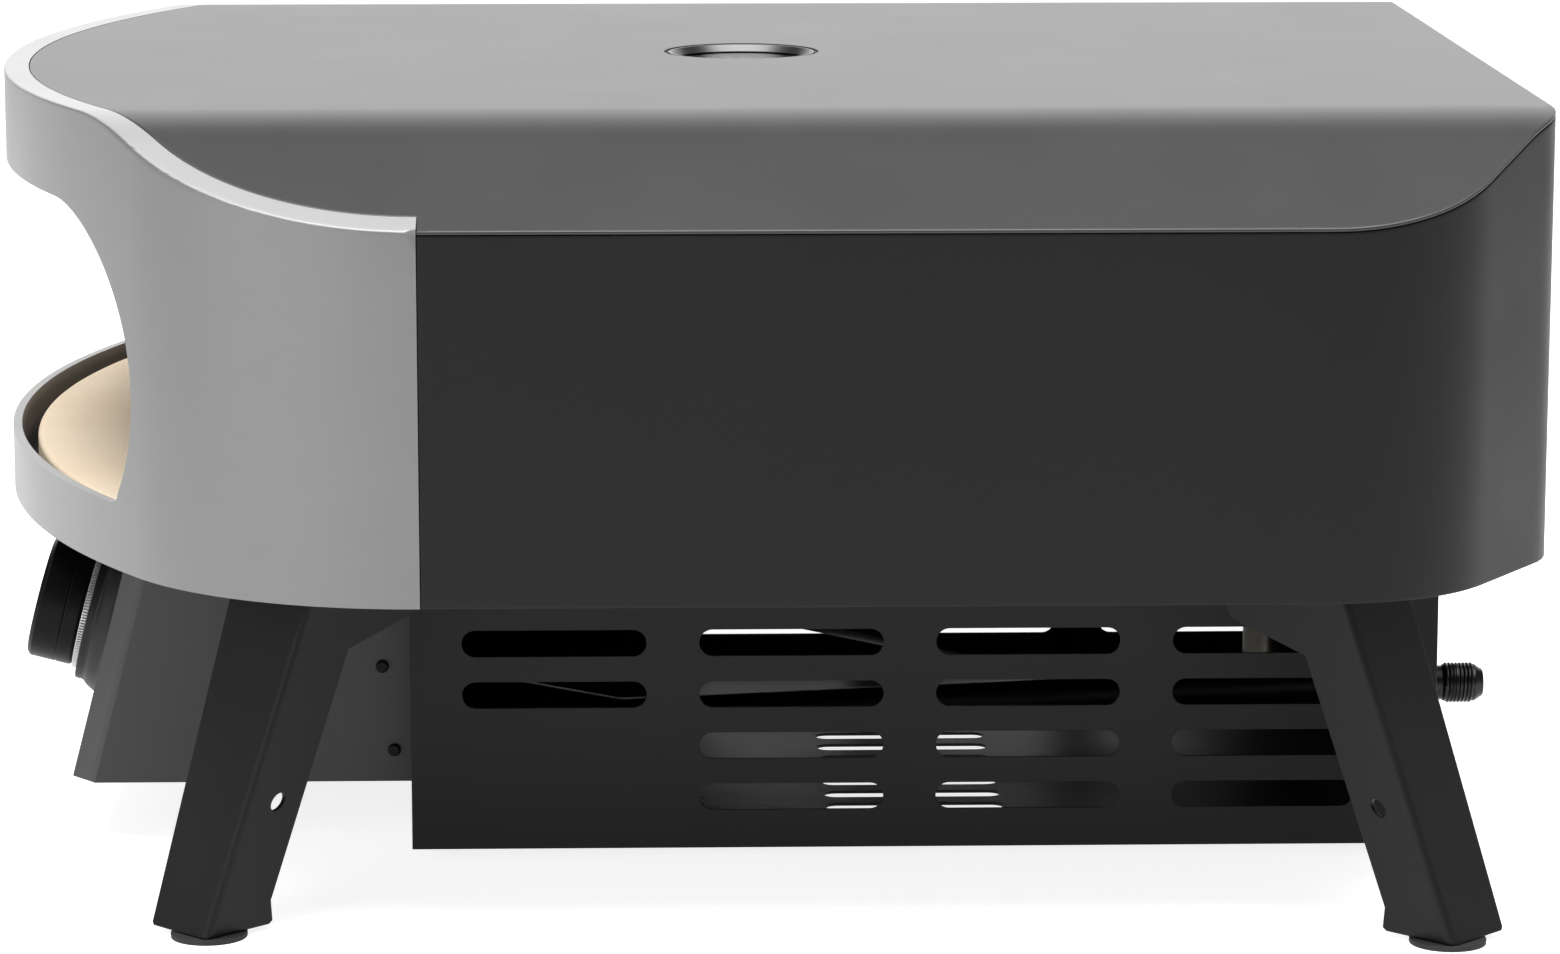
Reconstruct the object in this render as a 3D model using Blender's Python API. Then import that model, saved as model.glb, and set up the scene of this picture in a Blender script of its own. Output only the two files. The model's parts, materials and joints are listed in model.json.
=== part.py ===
"""Table-top pizza oven with a gas burner: body shell, chamber, stone, slotted base, control box and splayed legs.

Frame: +Z up, floor at z = 0, origin at the middle of the footprint, mouth toward -Y.
"""

import math

import bmesh
import bpy
from mathutils import Matrix, Vector

MM = 0.001
GAP = 0.3 * MM  # clearance between neighbouring pieces

# Overall sizes
WIDTH = 600 * MM
LENGTH = 581.4 * MM
HEIGHT = 291.6 * MM
BODY_DEPTH = 164.6 * MM
HALF_W = WIDTH / 2
FRONT_Y = -LENGTH / 2
REAR_Y = LENGTH / 2
BODY_Z = HEIGHT - BODY_DEPTH

# Plan outline of the body: one wide arc at the front, a tangent arc at each side of it, rounded rear corners
FRONT_R = 460 * MM
SIDE_R = 121.5 * MM
CORNER_R = 70 * MM  # rear corner: an arc, a flat and a smaller arc
CORNER_TURN = math.radians(56.6)
CORNER_FLAT = 48 * MM
CORNER_END_R = 36 * MM
ARC_CENTRE_Y = FRONT_Y + FRONT_R
SIDE_CENTRE_X = HALF_W - SIDE_R
JOIN_Y = ARC_CENTRE_Y - math.sqrt((FRONT_R - SIDE_R) ** 2 - SIDE_CENTRE_X**2)
ARC_ANGLE = math.atan2(SIDE_CENTRE_X, ARC_CENTRE_Y - JOIN_Y)
ARC_STEPS = 14
CORNER_X = HALF_W - CORNER_R
CORNER_STEP = CORNER_R - CORNER_END_R
CORNER_END_X = CORNER_X + CORNER_STEP * math.cos(CORNER_TURN) - CORNER_FLAT * math.sin(CORNER_TURN)
CORNER_END_Y = REAR_Y - CORNER_END_R
CORNER_Y = CORNER_END_Y - CORNER_STEP * math.sin(CORNER_TURN) - CORNER_FLAT * math.cos(CORNER_TURN)
CORNER_ARCS = (  # centre, radius, start and end angle, steps
    (CORNER_X, CORNER_Y, CORNER_R, 0.0, CORNER_TURN, 7),
    (CORNER_END_X, CORNER_END_Y, CORNER_END_R, CORNER_TURN, math.pi / 2, 3),
)

# Roof section: flat middle, soft bend, straight slope
FLAT_HALF = 201.7 * MM
BEND_R = 105 * MM
SLOPE = math.radians(22.3)
BEND_STEPS = 6
ROOF_T = 1.2 * MM

# Outer shell
WALL_T = 1.2 * MM
BAND_T = 3.4 * MM
LIP_W = 9.5 * MM
LIP_T = 2.4 * MM
FLOOR_T = 1.5 * MM

# Mouth in the front band
MOUTH_TOP = 34.7 * MM  # below the roof
MOUTH_BOTTOM = 140.3 * MM
MOUTH_R = 65 * MM
MOUTH_HALF = 240 * MM
MOUTH_FOOT_R = 5 * MM
MOUTH_STEPS = 14

# Chamber
SHIELD_IN = 14 * MM
SHIELD_ROOM = 2 * MM  # the shield's mouth stands this far outside the band's
SHIELD_DROP = 5.4 * MM
NOTCH_IN = 12 * MM
LINER_IN = 27 * MM
LINER_T = 0.8 * MM
LINER_DROP = 24 * MM
CEILING_IN = 19 * MM
BLANKET_T = 12 * MM

# Stone and what carries it
STONE_IN = 9.6 * MM
STONE_HALF = 215.5 * MM
STONE_LENGTH = 431 * MM
STONE_TOP = 144 * MM  # below the roof
STONE_T = 15 * MM
STONE_EDGE = 1.2 * MM
RAIL_W = 18 * MM
RAIL_X = 129 * MM
RAIL_FRONT = 60 * MM  # behind the stone's front
RAIL_REAR = 12 * MM

# Base box
BASE_HALF = 159 * MM
BASE_FRONT = -128.3 * MM
BASE_REAR = 260.4 * MM
BASE_BOTTOM = 4.4 * MM
BASE_T = 1.2 * MM
SLOT_L = 69.7 * MM
SLOT_H = 10.1 * MM
SLOT_PITCH_Y = 89.6 * MM
SLOT_PITCH_Z = 19.9 * MM
SLOT_FIRST_Y = -74 * MM
SLOT_FIRST_Z = HEIGHT - 207.6 * MM
SLOT_ROWS = (2, 4, 4, 4)  # from front to rear
SLOT_END_STEPS = 5
SLOT_END_FIT = 0.98  # keeps the end arcs clear of the straight edges
FLOOR_SLOT_Y = 65.5 * MM
FLOOR_SLOT_PITCH = 20 * MM
FLOOR_SLOT_ROWS = 11
DOOR_SIDE = 14 * MM  # opening between the base and the control box
DOOR_LOW = 4 * MM
DOOR_HIGH = 12 * MM

# Burner
BURNER_X = 246 * MM
BURNER_Y = 214 * MM
BURNER_FRONT = -70 * MM
BURNER_R = 9 * MM
BURNER_WALL = 1 * MM
BURNER_BEND = 45 * MM
BURNER_Z = BODY_Z + 22 * MM
CAP_R = 10 * MM
CAP_T = 3 * MM
SADDLE_HALF = 6 * MM
SADDLE_REAR_X = 120 * MM
RISER_LOW = BASE_BOTTOM + 28 * MM
GUARD_X = 226 * MM
GUARD_Y = 190 * MM
GUARD_BEND = 30 * MM
GUARD_H = 34 * MM
GUARD_T = 1 * MM
IGNITER = (60 * MM, GUARD_Y + 9 * MM)
IGNITER_R = 3.4 * MM
IGNITER_WIRE_R = 1.2 * MM
IGNITER_WIRE = 14 * MM
IGNITER_TIP = 12 * MM  # above the burner

# Thermometer in the roof
DIAL_R = 30.5 * MM
DIAL_DEPTH = 9 * MM
DIAL_WALL = 1 * MM
CASE_DROP = 0.6 * MM
DIAL_T = 0.8 * MM
GLASS_DROP = 4.4 * MM
GLASS_T = 1.2 * MM
RING_DROP = 0.2 * MM
RING_FOOT = 3.2 * MM
RING_TOP = 1.2 * MM
PROBE_R = 2.5 * MM
PROBE_LENGTH = 40 * MM
PROBE_NUT_R = 7.5 * MM
PROBE_NUT_T = 4 * MM
PROBE_HOLE_R = 5.5 * MM
POINTER_T = 0.6 * MM
POINTER_REACH = 23 * MM
POINTER_TAIL = 6 * MM
POINTER_HALF = (1.4 * MM, 2.2 * MM, 0.5 * MM)  # at the tail, the pin and the tip
POINTER_REST = math.radians(135)
POINTER_PIN_R = 1.2 * MM
POINTER_PIN_TOP = 0.4 * MM

# Control box
CTRL_HALF = 130 * MM
CTRL_Z = 24.1 * MM
TILT = math.radians(14.7)
FASCIA_FOOT_Y = -260.5 * MM
CHAMFER_X = 12 * MM
CHAMFER_Y = 9.6 * MM
FASCIA_T = 1.5 * MM
STEM_HOLE_R = 12 * MM
SCREW_R = 1.9 * MM
SCREW_HEAD_R = 2.5 * MM
SCREW_HEAD_T = 0.9 * MM
SCREW_LENGTH = 3 * MM
SCREWS = (("upper", -140.2 * MM, CTRL_Z + 45.2 * MM), ("lower", -136 * MM, CTRL_Z + 12.4 * MM))

# Knob, on an axis square to the fascia; heights are from the fascia
KNOB_Z = 62.6 * MM
KNOB_R = 25 * MM
KNOB_FACE = 35 * MM
KNOB_EDGE = 1.4 * MM
KNOB_BORE = 9 * MM
RING_R = 25.8 * MM
RING_BACK = 13.2 * MM
RING_T = 3 * MM
BEZEL_FRONT = 13.8 * MM
BEZEL_R = 29.5 * MM
BEZEL_WALL = 2 * MM
BEZEL_FLARE_R = 37 * MM
BEZEL_FLARE_T = 0.8 * MM
BEZEL_NECK = (31.1 * MM, 8.8 * MM)  # radius and height where the flare meets the rim
BEZEL_RIM = 10.4 * MM
BEZEL_FLOOR = 3 * MM
PRESS = 3 * MM
STEM_R = 3 * MM
STEM_LOW = -12 * MM
COLLAR_R = 7 * MM
COLLAR_LOW = 6.6 * MM
COLLAR_T = 2 * MM

# Valve behind the fascia; heights are from the fascia
VALVE_NECK_R = 9 * MM
VALVE_R = 14 * MM
VALVE_TOP = -2.4 * MM
VALVE_NECK = -12 * MM
VALVE_SHOULDER = -14 * MM
VALVE_END = -42 * MM
PLATE_R = 22 * MM
PLATE_T = 2 * MM

# Gas line
INLET_X = 90 * MM
INLET_Z = 51.6 * MM
INLET_BORE = 3.5 * MM
INLET_BACK = -14 * MM
INLET_END = 28.6 * MM
INLET_NOSE = 4 * MM
INLET_NOSE_R = (6.1 * MM, 5.7 * MM)
INLET_GROOVE = 4 * MM
THREAD_R = 7.9 * MM
THREAD_ROOT_R = 6.9 * MM
THREAD_TURNS = 8
THREAD_PITCH = 1.41 * MM
NUT_R = 11.5 * MM
NUT_T = 5 * MM
PIPE_R = 7 * MM
PIPE_WALL = 1 * MM
PIPE_BEND = 14 * MM
PIPE_STRAIGHT = (16 * MM, 30 * MM)  # at the inlet and at the valve
PIPE_LOW = (22 * MM, -50 * MM, CTRL_Z + 0.5 * MM)
FEED_R = 3.2 * MM
FEED_WALL = 1 * MM
FEED_BEND = 10 * MM
FEED_X = -40 * MM
FEED_SIDE = 22 * MM
FEED_DROP = -30 * MM
JET_R = 9.4 * MM
JET_H = 18 * MM
JET_BORE = (1.2 * MM, 4 * MM)  # radius and depth

# Legs
LEG_T = 2 * MM
LEG_FOOT_Z = 2.2 * MM
LEG_SPLAY_Y = 0.318
LEG_SPLAY_X = 0.16
LEG_FRONT = (278 * MM, -196.9 * MM)
LEG_REAR = (298 * MM, 246.9 * MM)
LEG_FACE = 27 * MM  # width of the inner face
LEG_OUTER_LOW = 30.5 * MM
LEG_OUTER_TOP = (43 * MM, 37 * MM)  # front legs and rear legs
LEG_TIP = 1.2 * MM
LEG_STEP_Z = 9 * MM
LEG_STEP = 4 * MM
LEG_GUSSET = 30 * MM
LEG_GUSSET_Z = HEIGHT - 191 * MM
LEG_GUSSET_H = 9 * MM
LEG_HOLE_R = 3.1 * MM
LEG_HOLE_Z = HEIGHT - 243.2 * MM
LEG_HOLE_IN = 15 * MM
LEG_OVERLAP = 1.2 * MM
FOOT_R = 13.8 * MM
FOOT_EDGE = 0.7 * MM
FOOT_IN = 13.5 * MM
FOOT_STUD_R = 2.2 * MM
FOOT_HEAD_R = 3.6 * MM
FOOT_HEAD_T = 2.4 * MM
PILOT_R = 2.5 * MM
CORNER_COS = math.cos(math.pi / 4)


def clear_scene():
    for obj in list(bpy.data.objects):
        bpy.data.objects.remove(obj, do_unlink=True)


def material(name, colour, roughness, metallic):
    found = bpy.data.materials.get(name)
    if found:
        return found
    made = bpy.data.materials.new(name)
    made.use_nodes = True
    shader = made.node_tree.nodes["Principled BSDF"]
    shader.inputs["Base Color"].default_value = (*colour, 1.0)
    shader.inputs["Roughness"].default_value = roughness
    shader.inputs["Metallic"].default_value = metallic
    return made


LOOKS = {
    "roof_paint": ((0.20, 0.20, 0.20), 0.45, 0.0),
    "black_paint": ((0.015, 0.015, 0.016), 0.5, 0.0),
    "silver_paint": ((0.45, 0.45, 0.46), 0.4, 0.3),
    "liner_steel": ((0.45, 0.43, 0.40), 0.4, 1.0),
    "stone": ((0.68, 0.54, 0.38), 0.9, 0.0),
    "blanket": ((0.75, 0.74, 0.70), 0.95, 0.0),
    "galvanised": ((0.50, 0.51, 0.52), 0.5, 1.0),
    "black_plastic": ((0.012, 0.012, 0.012), 0.4, 0.0),
    "bright_metal": ((0.70, 0.70, 0.70), 0.25, 1.0),
    "dark_steel": ((0.06, 0.06, 0.06), 0.4, 1.0),
    "brass": ((0.60, 0.43, 0.17), 0.35, 1.0),
    "rubber": ((0.02, 0.02, 0.02), 0.8, 0.0),
    "dial_white": ((0.62, 0.62, 0.60), 0.5, 0.0),
    "pointer_red": ((0.55, 0.04, 0.03), 0.5, 0.0),
    "glass": ((0.85, 0.88, 0.88), 0.05, 0.0),
    "ceramic": ((0.80, 0.78, 0.72), 0.4, 0.0),
}


def add(name, look, mesh):
    """A scene object from a bmesh, with its faces turned outward."""
    bmesh.ops.remove_doubles(mesh, verts=mesh.verts, dist=1e-6)
    bmesh.ops.recalc_face_normals(mesh, faces=mesh.faces)
    data = bpy.data.meshes.new(name)
    mesh.to_mesh(data)
    mesh.free()
    obj = bpy.data.objects.new(name, data)
    bpy.context.scene.collection.objects.link(obj)
    if look:
        data.materials.append(material(look, *LOOKS[look]))
    return obj


def combine(target, others, operation="DIFFERENCE"):
    """Cuts or joins the other objects into the target, then removes them."""
    for other in others:
        modifier = target.modifiers.new(operation, "BOOLEAN")
        modifier.operation = operation
        modifier.solver = "EXACT"
        modifier.object = other
    graph = bpy.context.evaluated_depsgraph_get()
    graph.update()
    made = bpy.data.meshes.new_from_object(target.evaluated_get(graph))
    target.modifiers.clear()
    old = target.data
    target.data = made
    bpy.data.meshes.remove(old)
    for other in others:
        bpy.data.objects.remove(other, do_unlink=True)
    return target


def prism_into(mesh, outline, low, high, place):
    """Adds the prism of a flat outline between two heights, each point mapped by place(u, v, height)."""
    bottom = [mesh.verts.new(place(u, v, low)) for u, v in outline]
    top = [mesh.verts.new(place(u, v, high)) for u, v in outline]
    count = len(outline)
    mesh.faces.new(bottom[::-1])
    mesh.faces.new(top)
    for i in range(count):
        j = (i + 1) % count
        mesh.faces.new((bottom[i], bottom[j], top[j], top[i]))


def upright(u, v, height):
    return Vector((u, v, height))


def along_y(u, v, height):
    return Vector((u, height, v))


def along_x(u, v, height):
    return Vector((height, u, v))


def prism(name, look, outline, low, high, place=upright):
    mesh = bmesh.new()
    prism_into(mesh, outline, low, high, place)
    return add(name, look, mesh)


def box_into(mesh, low, high):
    outline = [(low[0], low[1]), (high[0], low[1]), (high[0], high[1]), (low[0], high[1])]
    prism_into(mesh, outline, low[2], high[2], upright)


def box(name, look, low, high):
    mesh = bmesh.new()
    box_into(mesh, low, high)
    return add(name, look, mesh)


def lathe_into(mesh, profile, steps, frame):
    """Adds the closed (radius, height) profile turned about the frame's Z axis."""
    rings = []
    for radius, height in profile:
        if radius < 1e-7:
            rings.append([mesh.verts.new(frame @ Vector((0, 0, height)))] * steps)
            continue
        turns = [2 * math.pi * i / steps for i in range(steps)]
        points = [Vector((radius * math.cos(a), radius * math.sin(a), height)) for a in turns]
        rings.append([mesh.verts.new(frame @ point) for point in points])
    for low, high in zip(rings, rings[1:] + rings[:1]):
        for i in range(steps):
            j = (i + 1) % steps
            corners = []
            for vert in (low[i], low[j], high[j], high[i]):
                if vert not in corners:
                    corners.append(vert)
            if len(corners) > 2:
                mesh.faces.new(corners)


def lathe(name, look, profile, steps, frame=None):
    mesh = bmesh.new()
    lathe_into(mesh, profile, steps, frame or Matrix.Identity(4))
    return smooth(add(name, look, mesh))


def hex_nut(name, look, reach, bore, low, high, frame):
    """Six-sided nut with a round bore; reach is the distance from the axis to a corner."""
    nut = lathe(name, look, rod_profile(reach, low, high), 6, frame)
    drill = lathe("drill", None, rod_profile(bore, low - 2 * MM, high + 2 * MM), 24, frame)
    return combine(nut, [drill])


def smooth(obj, angle=35.0):
    obj.data.polygons.foreach_set("use_smooth", [True] * len(obj.data.polygons))
    obj.data.set_sharp_from_angle(angle=math.radians(angle))
    return obj


def tube_profile(outer, inner, low, high):
    return [(inner, low), (outer, low), (outer, high), (inner, high)]


def rod_profile(radius, low, high):
    return [(0, low), (radius, low), (radius, high), (0, high)]


def rounded_path(points, radius, steps):
    """The polyline with each inner corner replaced by an arc of the given radius."""
    path = [Vector(points[0])]
    for before, here, after in zip(points, points[1:], points[2:]):
        here = Vector(here)
        back = (Vector(before) - here).normalized()
        ahead = (Vector(after) - here).normalized()
        half = back.angle(ahead) / 2
        reach = radius / math.tan(half)
        centre = here + (back + ahead).normalized() * (radius / math.sin(half))
        start = here + back * reach - centre
        end = here + ahead * reach - centre
        sweep = start.angle(end)
        for i in range(steps + 1):
            t = i / steps
            part = start * math.sin((1 - t) * sweep) + end * math.sin(t * sweep)
            path.append(centre + part / math.sin(sweep))
    path.append(Vector(points[-1]))
    return path


def path_frames(path):
    """A frame at each path point whose Z follows the path, turned as little as possible."""
    frames = []
    side = None
    for i, point in enumerate(path):
        before = path[max(i - 1, 0)]
        after = path[min(i + 1, len(path) - 1)]
        tangent = (after - before).normalized()
        if side is None:
            side = tangent.orthogonal().normalized()
        side = (side - tangent * side.dot(tangent)).normalized()
        frames.append((point, side, tangent.cross(side)))
    return frames


def sweep_into(mesh, path, outer, inner, steps):
    """Adds a round bar along a path, or a pipe that is open at both ends when inner is not 0."""
    loops = []
    for radius in (outer, inner) if inner else (outer,):
        rings = []
        for point, side, up in path_frames(path):
            turns = [2 * math.pi * i / steps for i in range(steps)]
            ring = [point + (side * math.cos(a) + up * math.sin(a)) * radius for a in turns]
            rings.append([mesh.verts.new(p) for p in ring])
        for low, high in zip(rings, rings[1:]):
            for i in range(steps):
                j = (i + 1) % steps
                mesh.faces.new((low[i], low[j], high[j], high[i]))
        loops.append(rings)
    for end in (0, -1):
        if not inner:
            mesh.faces.new(loops[0][end])
            continue
        for i in range(steps):
            j = (i + 1) % steps
            mesh.faces.new((loops[0][end][i], loops[0][end][j], loops[1][end][j], loops[1][end][i]))


def sweep(name, look, path, outer, inner=0, steps=12):
    mesh = bmesh.new()
    sweep_into(mesh, path, outer, inner, steps)
    return smooth(add(name, look, mesh))


def roof_z(x):
    """Height of the roof's outer face at a distance from the middle plane."""
    away = abs(x) - FLAT_HALF
    bend = BEND_R * math.sin(SLOPE)
    if away <= 0:
        return HEIGHT
    if away < bend:
        return HEIGHT - BEND_R + math.sqrt(BEND_R**2 - away**2)
    return HEIGHT - BEND_R * (1 - math.cos(SLOPE)) - (away - bend) * math.tan(SLOPE)


def roof_stations(half):
    """The x positions where the roof section is sampled, from left to right."""
    turns = [SLOPE * i / BEND_STEPS for i in range(BEND_STEPS + 1)]
    right = [FLAT_HALF + BEND_R * math.sin(a) for a in turns]
    right = [x for x in right if x < half - GAP] + [half]
    return [-x for x in reversed(right)] + right


def roof_slab(name, look, half, drop, thickness, front, rear):
    """A sheet of the roof's section, set below the outer face by drop."""
    stations = roof_stations(half)
    over = [(x, roof_z(x) - drop) for x in stations]
    under = [(x, roof_z(x) - drop - thickness) for x in reversed(stations)]
    return prism(name, look, over + under, front, rear, along_y)


def front_points(inset, start=None):
    """Plan points (x, y, inward x, inward y) of the front outline from its right end to its left end."""
    points = []
    for i in range(ARC_STEPS // 2 + 1):
        a = math.pi / 2 + (ARC_ANGLE - math.pi / 2) * 2 * i / ARC_STEPS
        r = SIDE_R - inset
        x, y = SIDE_CENTRE_X + r * math.sin(a), JOIN_Y - r * math.cos(a)
        points.append((x, y, -math.sin(a), math.cos(a)))
    for i in range(1, ARC_STEPS + 1):
        a = ARC_ANGLE * (1 - i / ARC_STEPS)
        r = FRONT_R - inset
        points.append((r * math.sin(a), ARC_CENTRE_Y - r * math.cos(a), -math.sin(a), math.cos(a)))
    left = [(-x, y, -nx, ny) for x, y, nx, ny in reversed(points[:-1])]
    return points + left


def rear_points(inset, start_y):
    """Plan points of the rest of the outline from the left side, round the back, to the right side."""
    right = [(HALF_W - inset, start_y, -1.0, 0.0)]
    for cx, cy, radius, low, high, steps in CORNER_ARCS:
        r = radius - inset
        for i in range(steps + 1):
            a = low + (high - low) * i / steps
            right.append((cx + r * math.cos(a), cy + r * math.sin(a), -math.cos(a), -math.sin(a)))
    left = [(-x, y, -nx, ny) for x, y, nx, ny in right]
    return left + right[::-1]


def wall(name, look, points, section):
    """A sheet that follows plan points; section(x, y) lists its (inset, height rule) corners."""
    mesh = bmesh.new()
    rings = []
    for x, y, nx, ny in points:
        ring = []
        for inset, height in section:
            px, py = x + nx * inset, y + ny * inset
            ring.append(mesh.verts.new((px, py, height(px))))
        rings.append(ring)
    for low, high in zip(rings, rings[1:]):
        count = len(low)
        for i in range(count):
            j = (i + 1) % count
            mesh.faces.new((low[i], low[j], high[j], high[i]))
    mesh.faces.new(rings[0])
    mesh.faces.new(rings[-1][::-1])
    return smooth(add(name, look, mesh), 30.0)


def at(height):
    return lambda x: height


def under_roof(drop):
    return lambda x: roof_z(x) - drop


def plan_outline(front_inset, side_inset, step_y):
    """Closed plan outline with its own inset ahead of and behind the step line."""
    front = [(x, y) for x, y, _, _ in front_points(front_inset)]
    rear = [(x, y) for x, y, _, _ in rear_points(side_inset, step_y)]
    return front[::-1] + rear[::-1]


def mouth_cutter(grow):
    """A prism along Y of the mouth, larger all round by grow."""
    r = MOUTH_R + grow
    cx = MOUTH_HALF - MOUTH_R
    cz = HEIGHT - MOUTH_TOP - MOUTH_R
    low = HEIGHT - MOUTH_BOTTOM - grow
    end = math.asin((low + MOUTH_FOOT_R - cz) / r)
    right = []
    for i in range(MOUTH_STEPS + 1):
        a = math.pi / 2 + (end - math.pi / 2) * i / MOUTH_STEPS
        right.append((cx + r * math.cos(a), cz + r * math.sin(a)))
    foot = right[-1][0]
    right.append((foot - MOUTH_FOOT_R * 0.35, low + MOUTH_FOOT_R * 0.25))
    right.append((foot - MOUTH_FOOT_R * 1.2, low))
    outline = right + [(-x, z) for x, z in reversed(right)]
    return prism("mouth", None, outline, FRONT_Y - LIP_W, JOIN_Y, along_y)


def slot_outline(u, v, length, height):
    """Rounded slot centred on (u, v)."""
    r = height / 2 * SLOT_END_FIT
    half = length / 2 - r
    points = []
    for side in (1, -1):
        for i in range(SLOT_END_STEPS + 1):
            a = -math.pi / 2 + math.pi * i / SLOT_END_STEPS
            points.append((u + side * (half + r * math.cos(a)), v + side * r * math.sin(a)))
    return points


def disc(name, x, y, r, low, high, steps=32):
    turns = [2 * math.pi * i / steps for i in range(steps)]
    return prism(name, None, [(x + r * math.cos(a), y + r * math.sin(a)) for a in turns], low, high)


def build_shell():
    """Roof cover, silver front band, black side and rear wrap, and the pan that closes the body below."""
    cover = roof_slab("roof_cover", "roof_paint", HALF_W, 0, ROOF_T, FRONT_Y, REAR_Y)
    outline = plan_outline(LIP_W + GAP, 0, JOIN_Y + GAP)
    trim = prism("trim", None, outline, BODY_Z, HEIGHT + LIP_W)
    combine(cover, [trim], "INTERSECT")
    hole = disc("hole", 0, 0, DIAL_R + GAP, HEIGHT - LIP_W, HEIGHT + LIP_W, 48)
    smooth(combine(cover, [hole]), 12.0)

    section = [
        (0, at(BODY_Z)),
        (0, under_roof(0)),
        (LIP_W, under_roof(0)),
        (LIP_W, under_roof(LIP_T)),
        (BAND_T, under_roof(LIP_T)),
        (BAND_T, at(BODY_Z)),
    ]
    band = wall("front_band", "silver_paint", front_points(0), section)
    smooth(combine(band, [mouth_cutter(0)]), 30.0)

    drop = ROOF_T + GAP
    section = [
        (0, at(BODY_Z)),
        (0, under_roof(drop)),
        (WALL_T, under_roof(drop)),
        (WALL_T, at(BODY_Z)),
    ]
    wall("side_wrap", "black_paint", rear_points(0, JOIN_Y + GAP), section)

    outline = plan_outline(BAND_T + GAP, WALL_T + GAP, JOIN_Y + GAP)
    pan = prism("body_pan", "black_paint", outline, BODY_Z, BODY_Z + FLOOR_T)
    hole = disc("hole", 0, BURNER_Y, BURNER_R + 2 * GAP, 0, HEIGHT, 20)
    combine(pan, [hole])


def build_chamber():
    """Heat shield behind the band, chamber wall and ceiling, blanket, stone and rails."""
    floor_z = BODY_Z + FLOOR_T + GAP
    section = [
        (0, at(floor_z)),
        (0, under_roof(SHIELD_DROP)),
        (LINER_T, under_roof(SHIELD_DROP)),
        (LINER_T, at(floor_z)),
    ]
    shield = wall("mouth_shield", "liner_steel", front_points(SHIELD_IN), section)
    sill = MOUTH_HALF - NOTCH_IN
    sill_top = HEIGHT - MOUTH_BOTTOM + SHIELD_ROOM + 1 * MM
    notch = box("notch", None, (-sill, FRONT_Y, BODY_Z), (sill, JOIN_Y, sill_top))
    smooth(combine(shield, [mouth_cutter(SHIELD_ROOM), notch]), 30.0)

    wall_drop = LINER_DROP + LINER_T + GAP
    section = [
        (0, at(floor_z)),
        (0, under_roof(wall_drop)),
        (LINER_T, under_roof(wall_drop)),
        (LINER_T, at(floor_z)),
    ]
    wall("chamber_wall", "liner_steel", rear_points(LINER_IN, JOIN_Y + 2 * GAP), section)

    half = HALF_W - SHIELD_IN
    inset = SHIELD_IN + LINER_T + GAP
    for name, look, drop, thick in (
        ("chamber_ceiling", "liner_steel", LINER_DROP, LINER_T),
        ("roof_blanket", "blanket", LINER_DROP - GAP - BLANKET_T, BLANKET_T),
    ):
        sheet = roof_slab(name, look, half, drop, thick, FRONT_Y, REAR_Y)
        trim = prism("trim", None, plan_outline(inset, CEILING_IN, JOIN_Y), BODY_Z, HEIGHT)
        combine(sheet, [trim], "INTERSECT")
        hole = disc("hole", 0, 0, PROBE_HOLE_R + GAP, BODY_Z, HEIGHT + LIP_W, 20)
        smooth(combine(sheet, [hole]), 12.0)
    build_stone(floor_z)


def build_stone(floor_z):
    """Pizza stone with a curved front edge, on two rails."""
    top = HEIGHT - STONE_TOP
    r = FRONT_R - STONE_IN
    edge = math.asin(STONE_HALF / r)
    outline = []
    for i in range(ARC_STEPS + 1):
        a = edge * (2 * i / ARC_STEPS - 1)
        outline.append((r * math.sin(a), ARC_CENTRE_Y - r * math.cos(a)))
    front = ARC_CENTRE_Y - r
    rear = front + STONE_LENGTH
    outline += [(STONE_HALF, rear), (-STONE_HALF, rear)]
    stone = prism("pizza_stone", "stone", outline, top - STONE_T, top)
    bevel = stone.modifiers.new("edge", "BEVEL")
    bevel.width = STONE_EDGE
    bevel.segments = 2
    bevel.limit_method = "ANGLE"

    rail_top = top - STONE_T - GAP
    for side, hand in ((1, "right"), (-1, "left")):
        low = (side * RAIL_X - RAIL_W / 2, front + RAIL_FRONT, floor_z)
        high = (side * RAIL_X + RAIL_W / 2, rear - RAIL_REAR, rail_top)
        box(f"stone_rail_{hand}", "galvanised", low, high)


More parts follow.
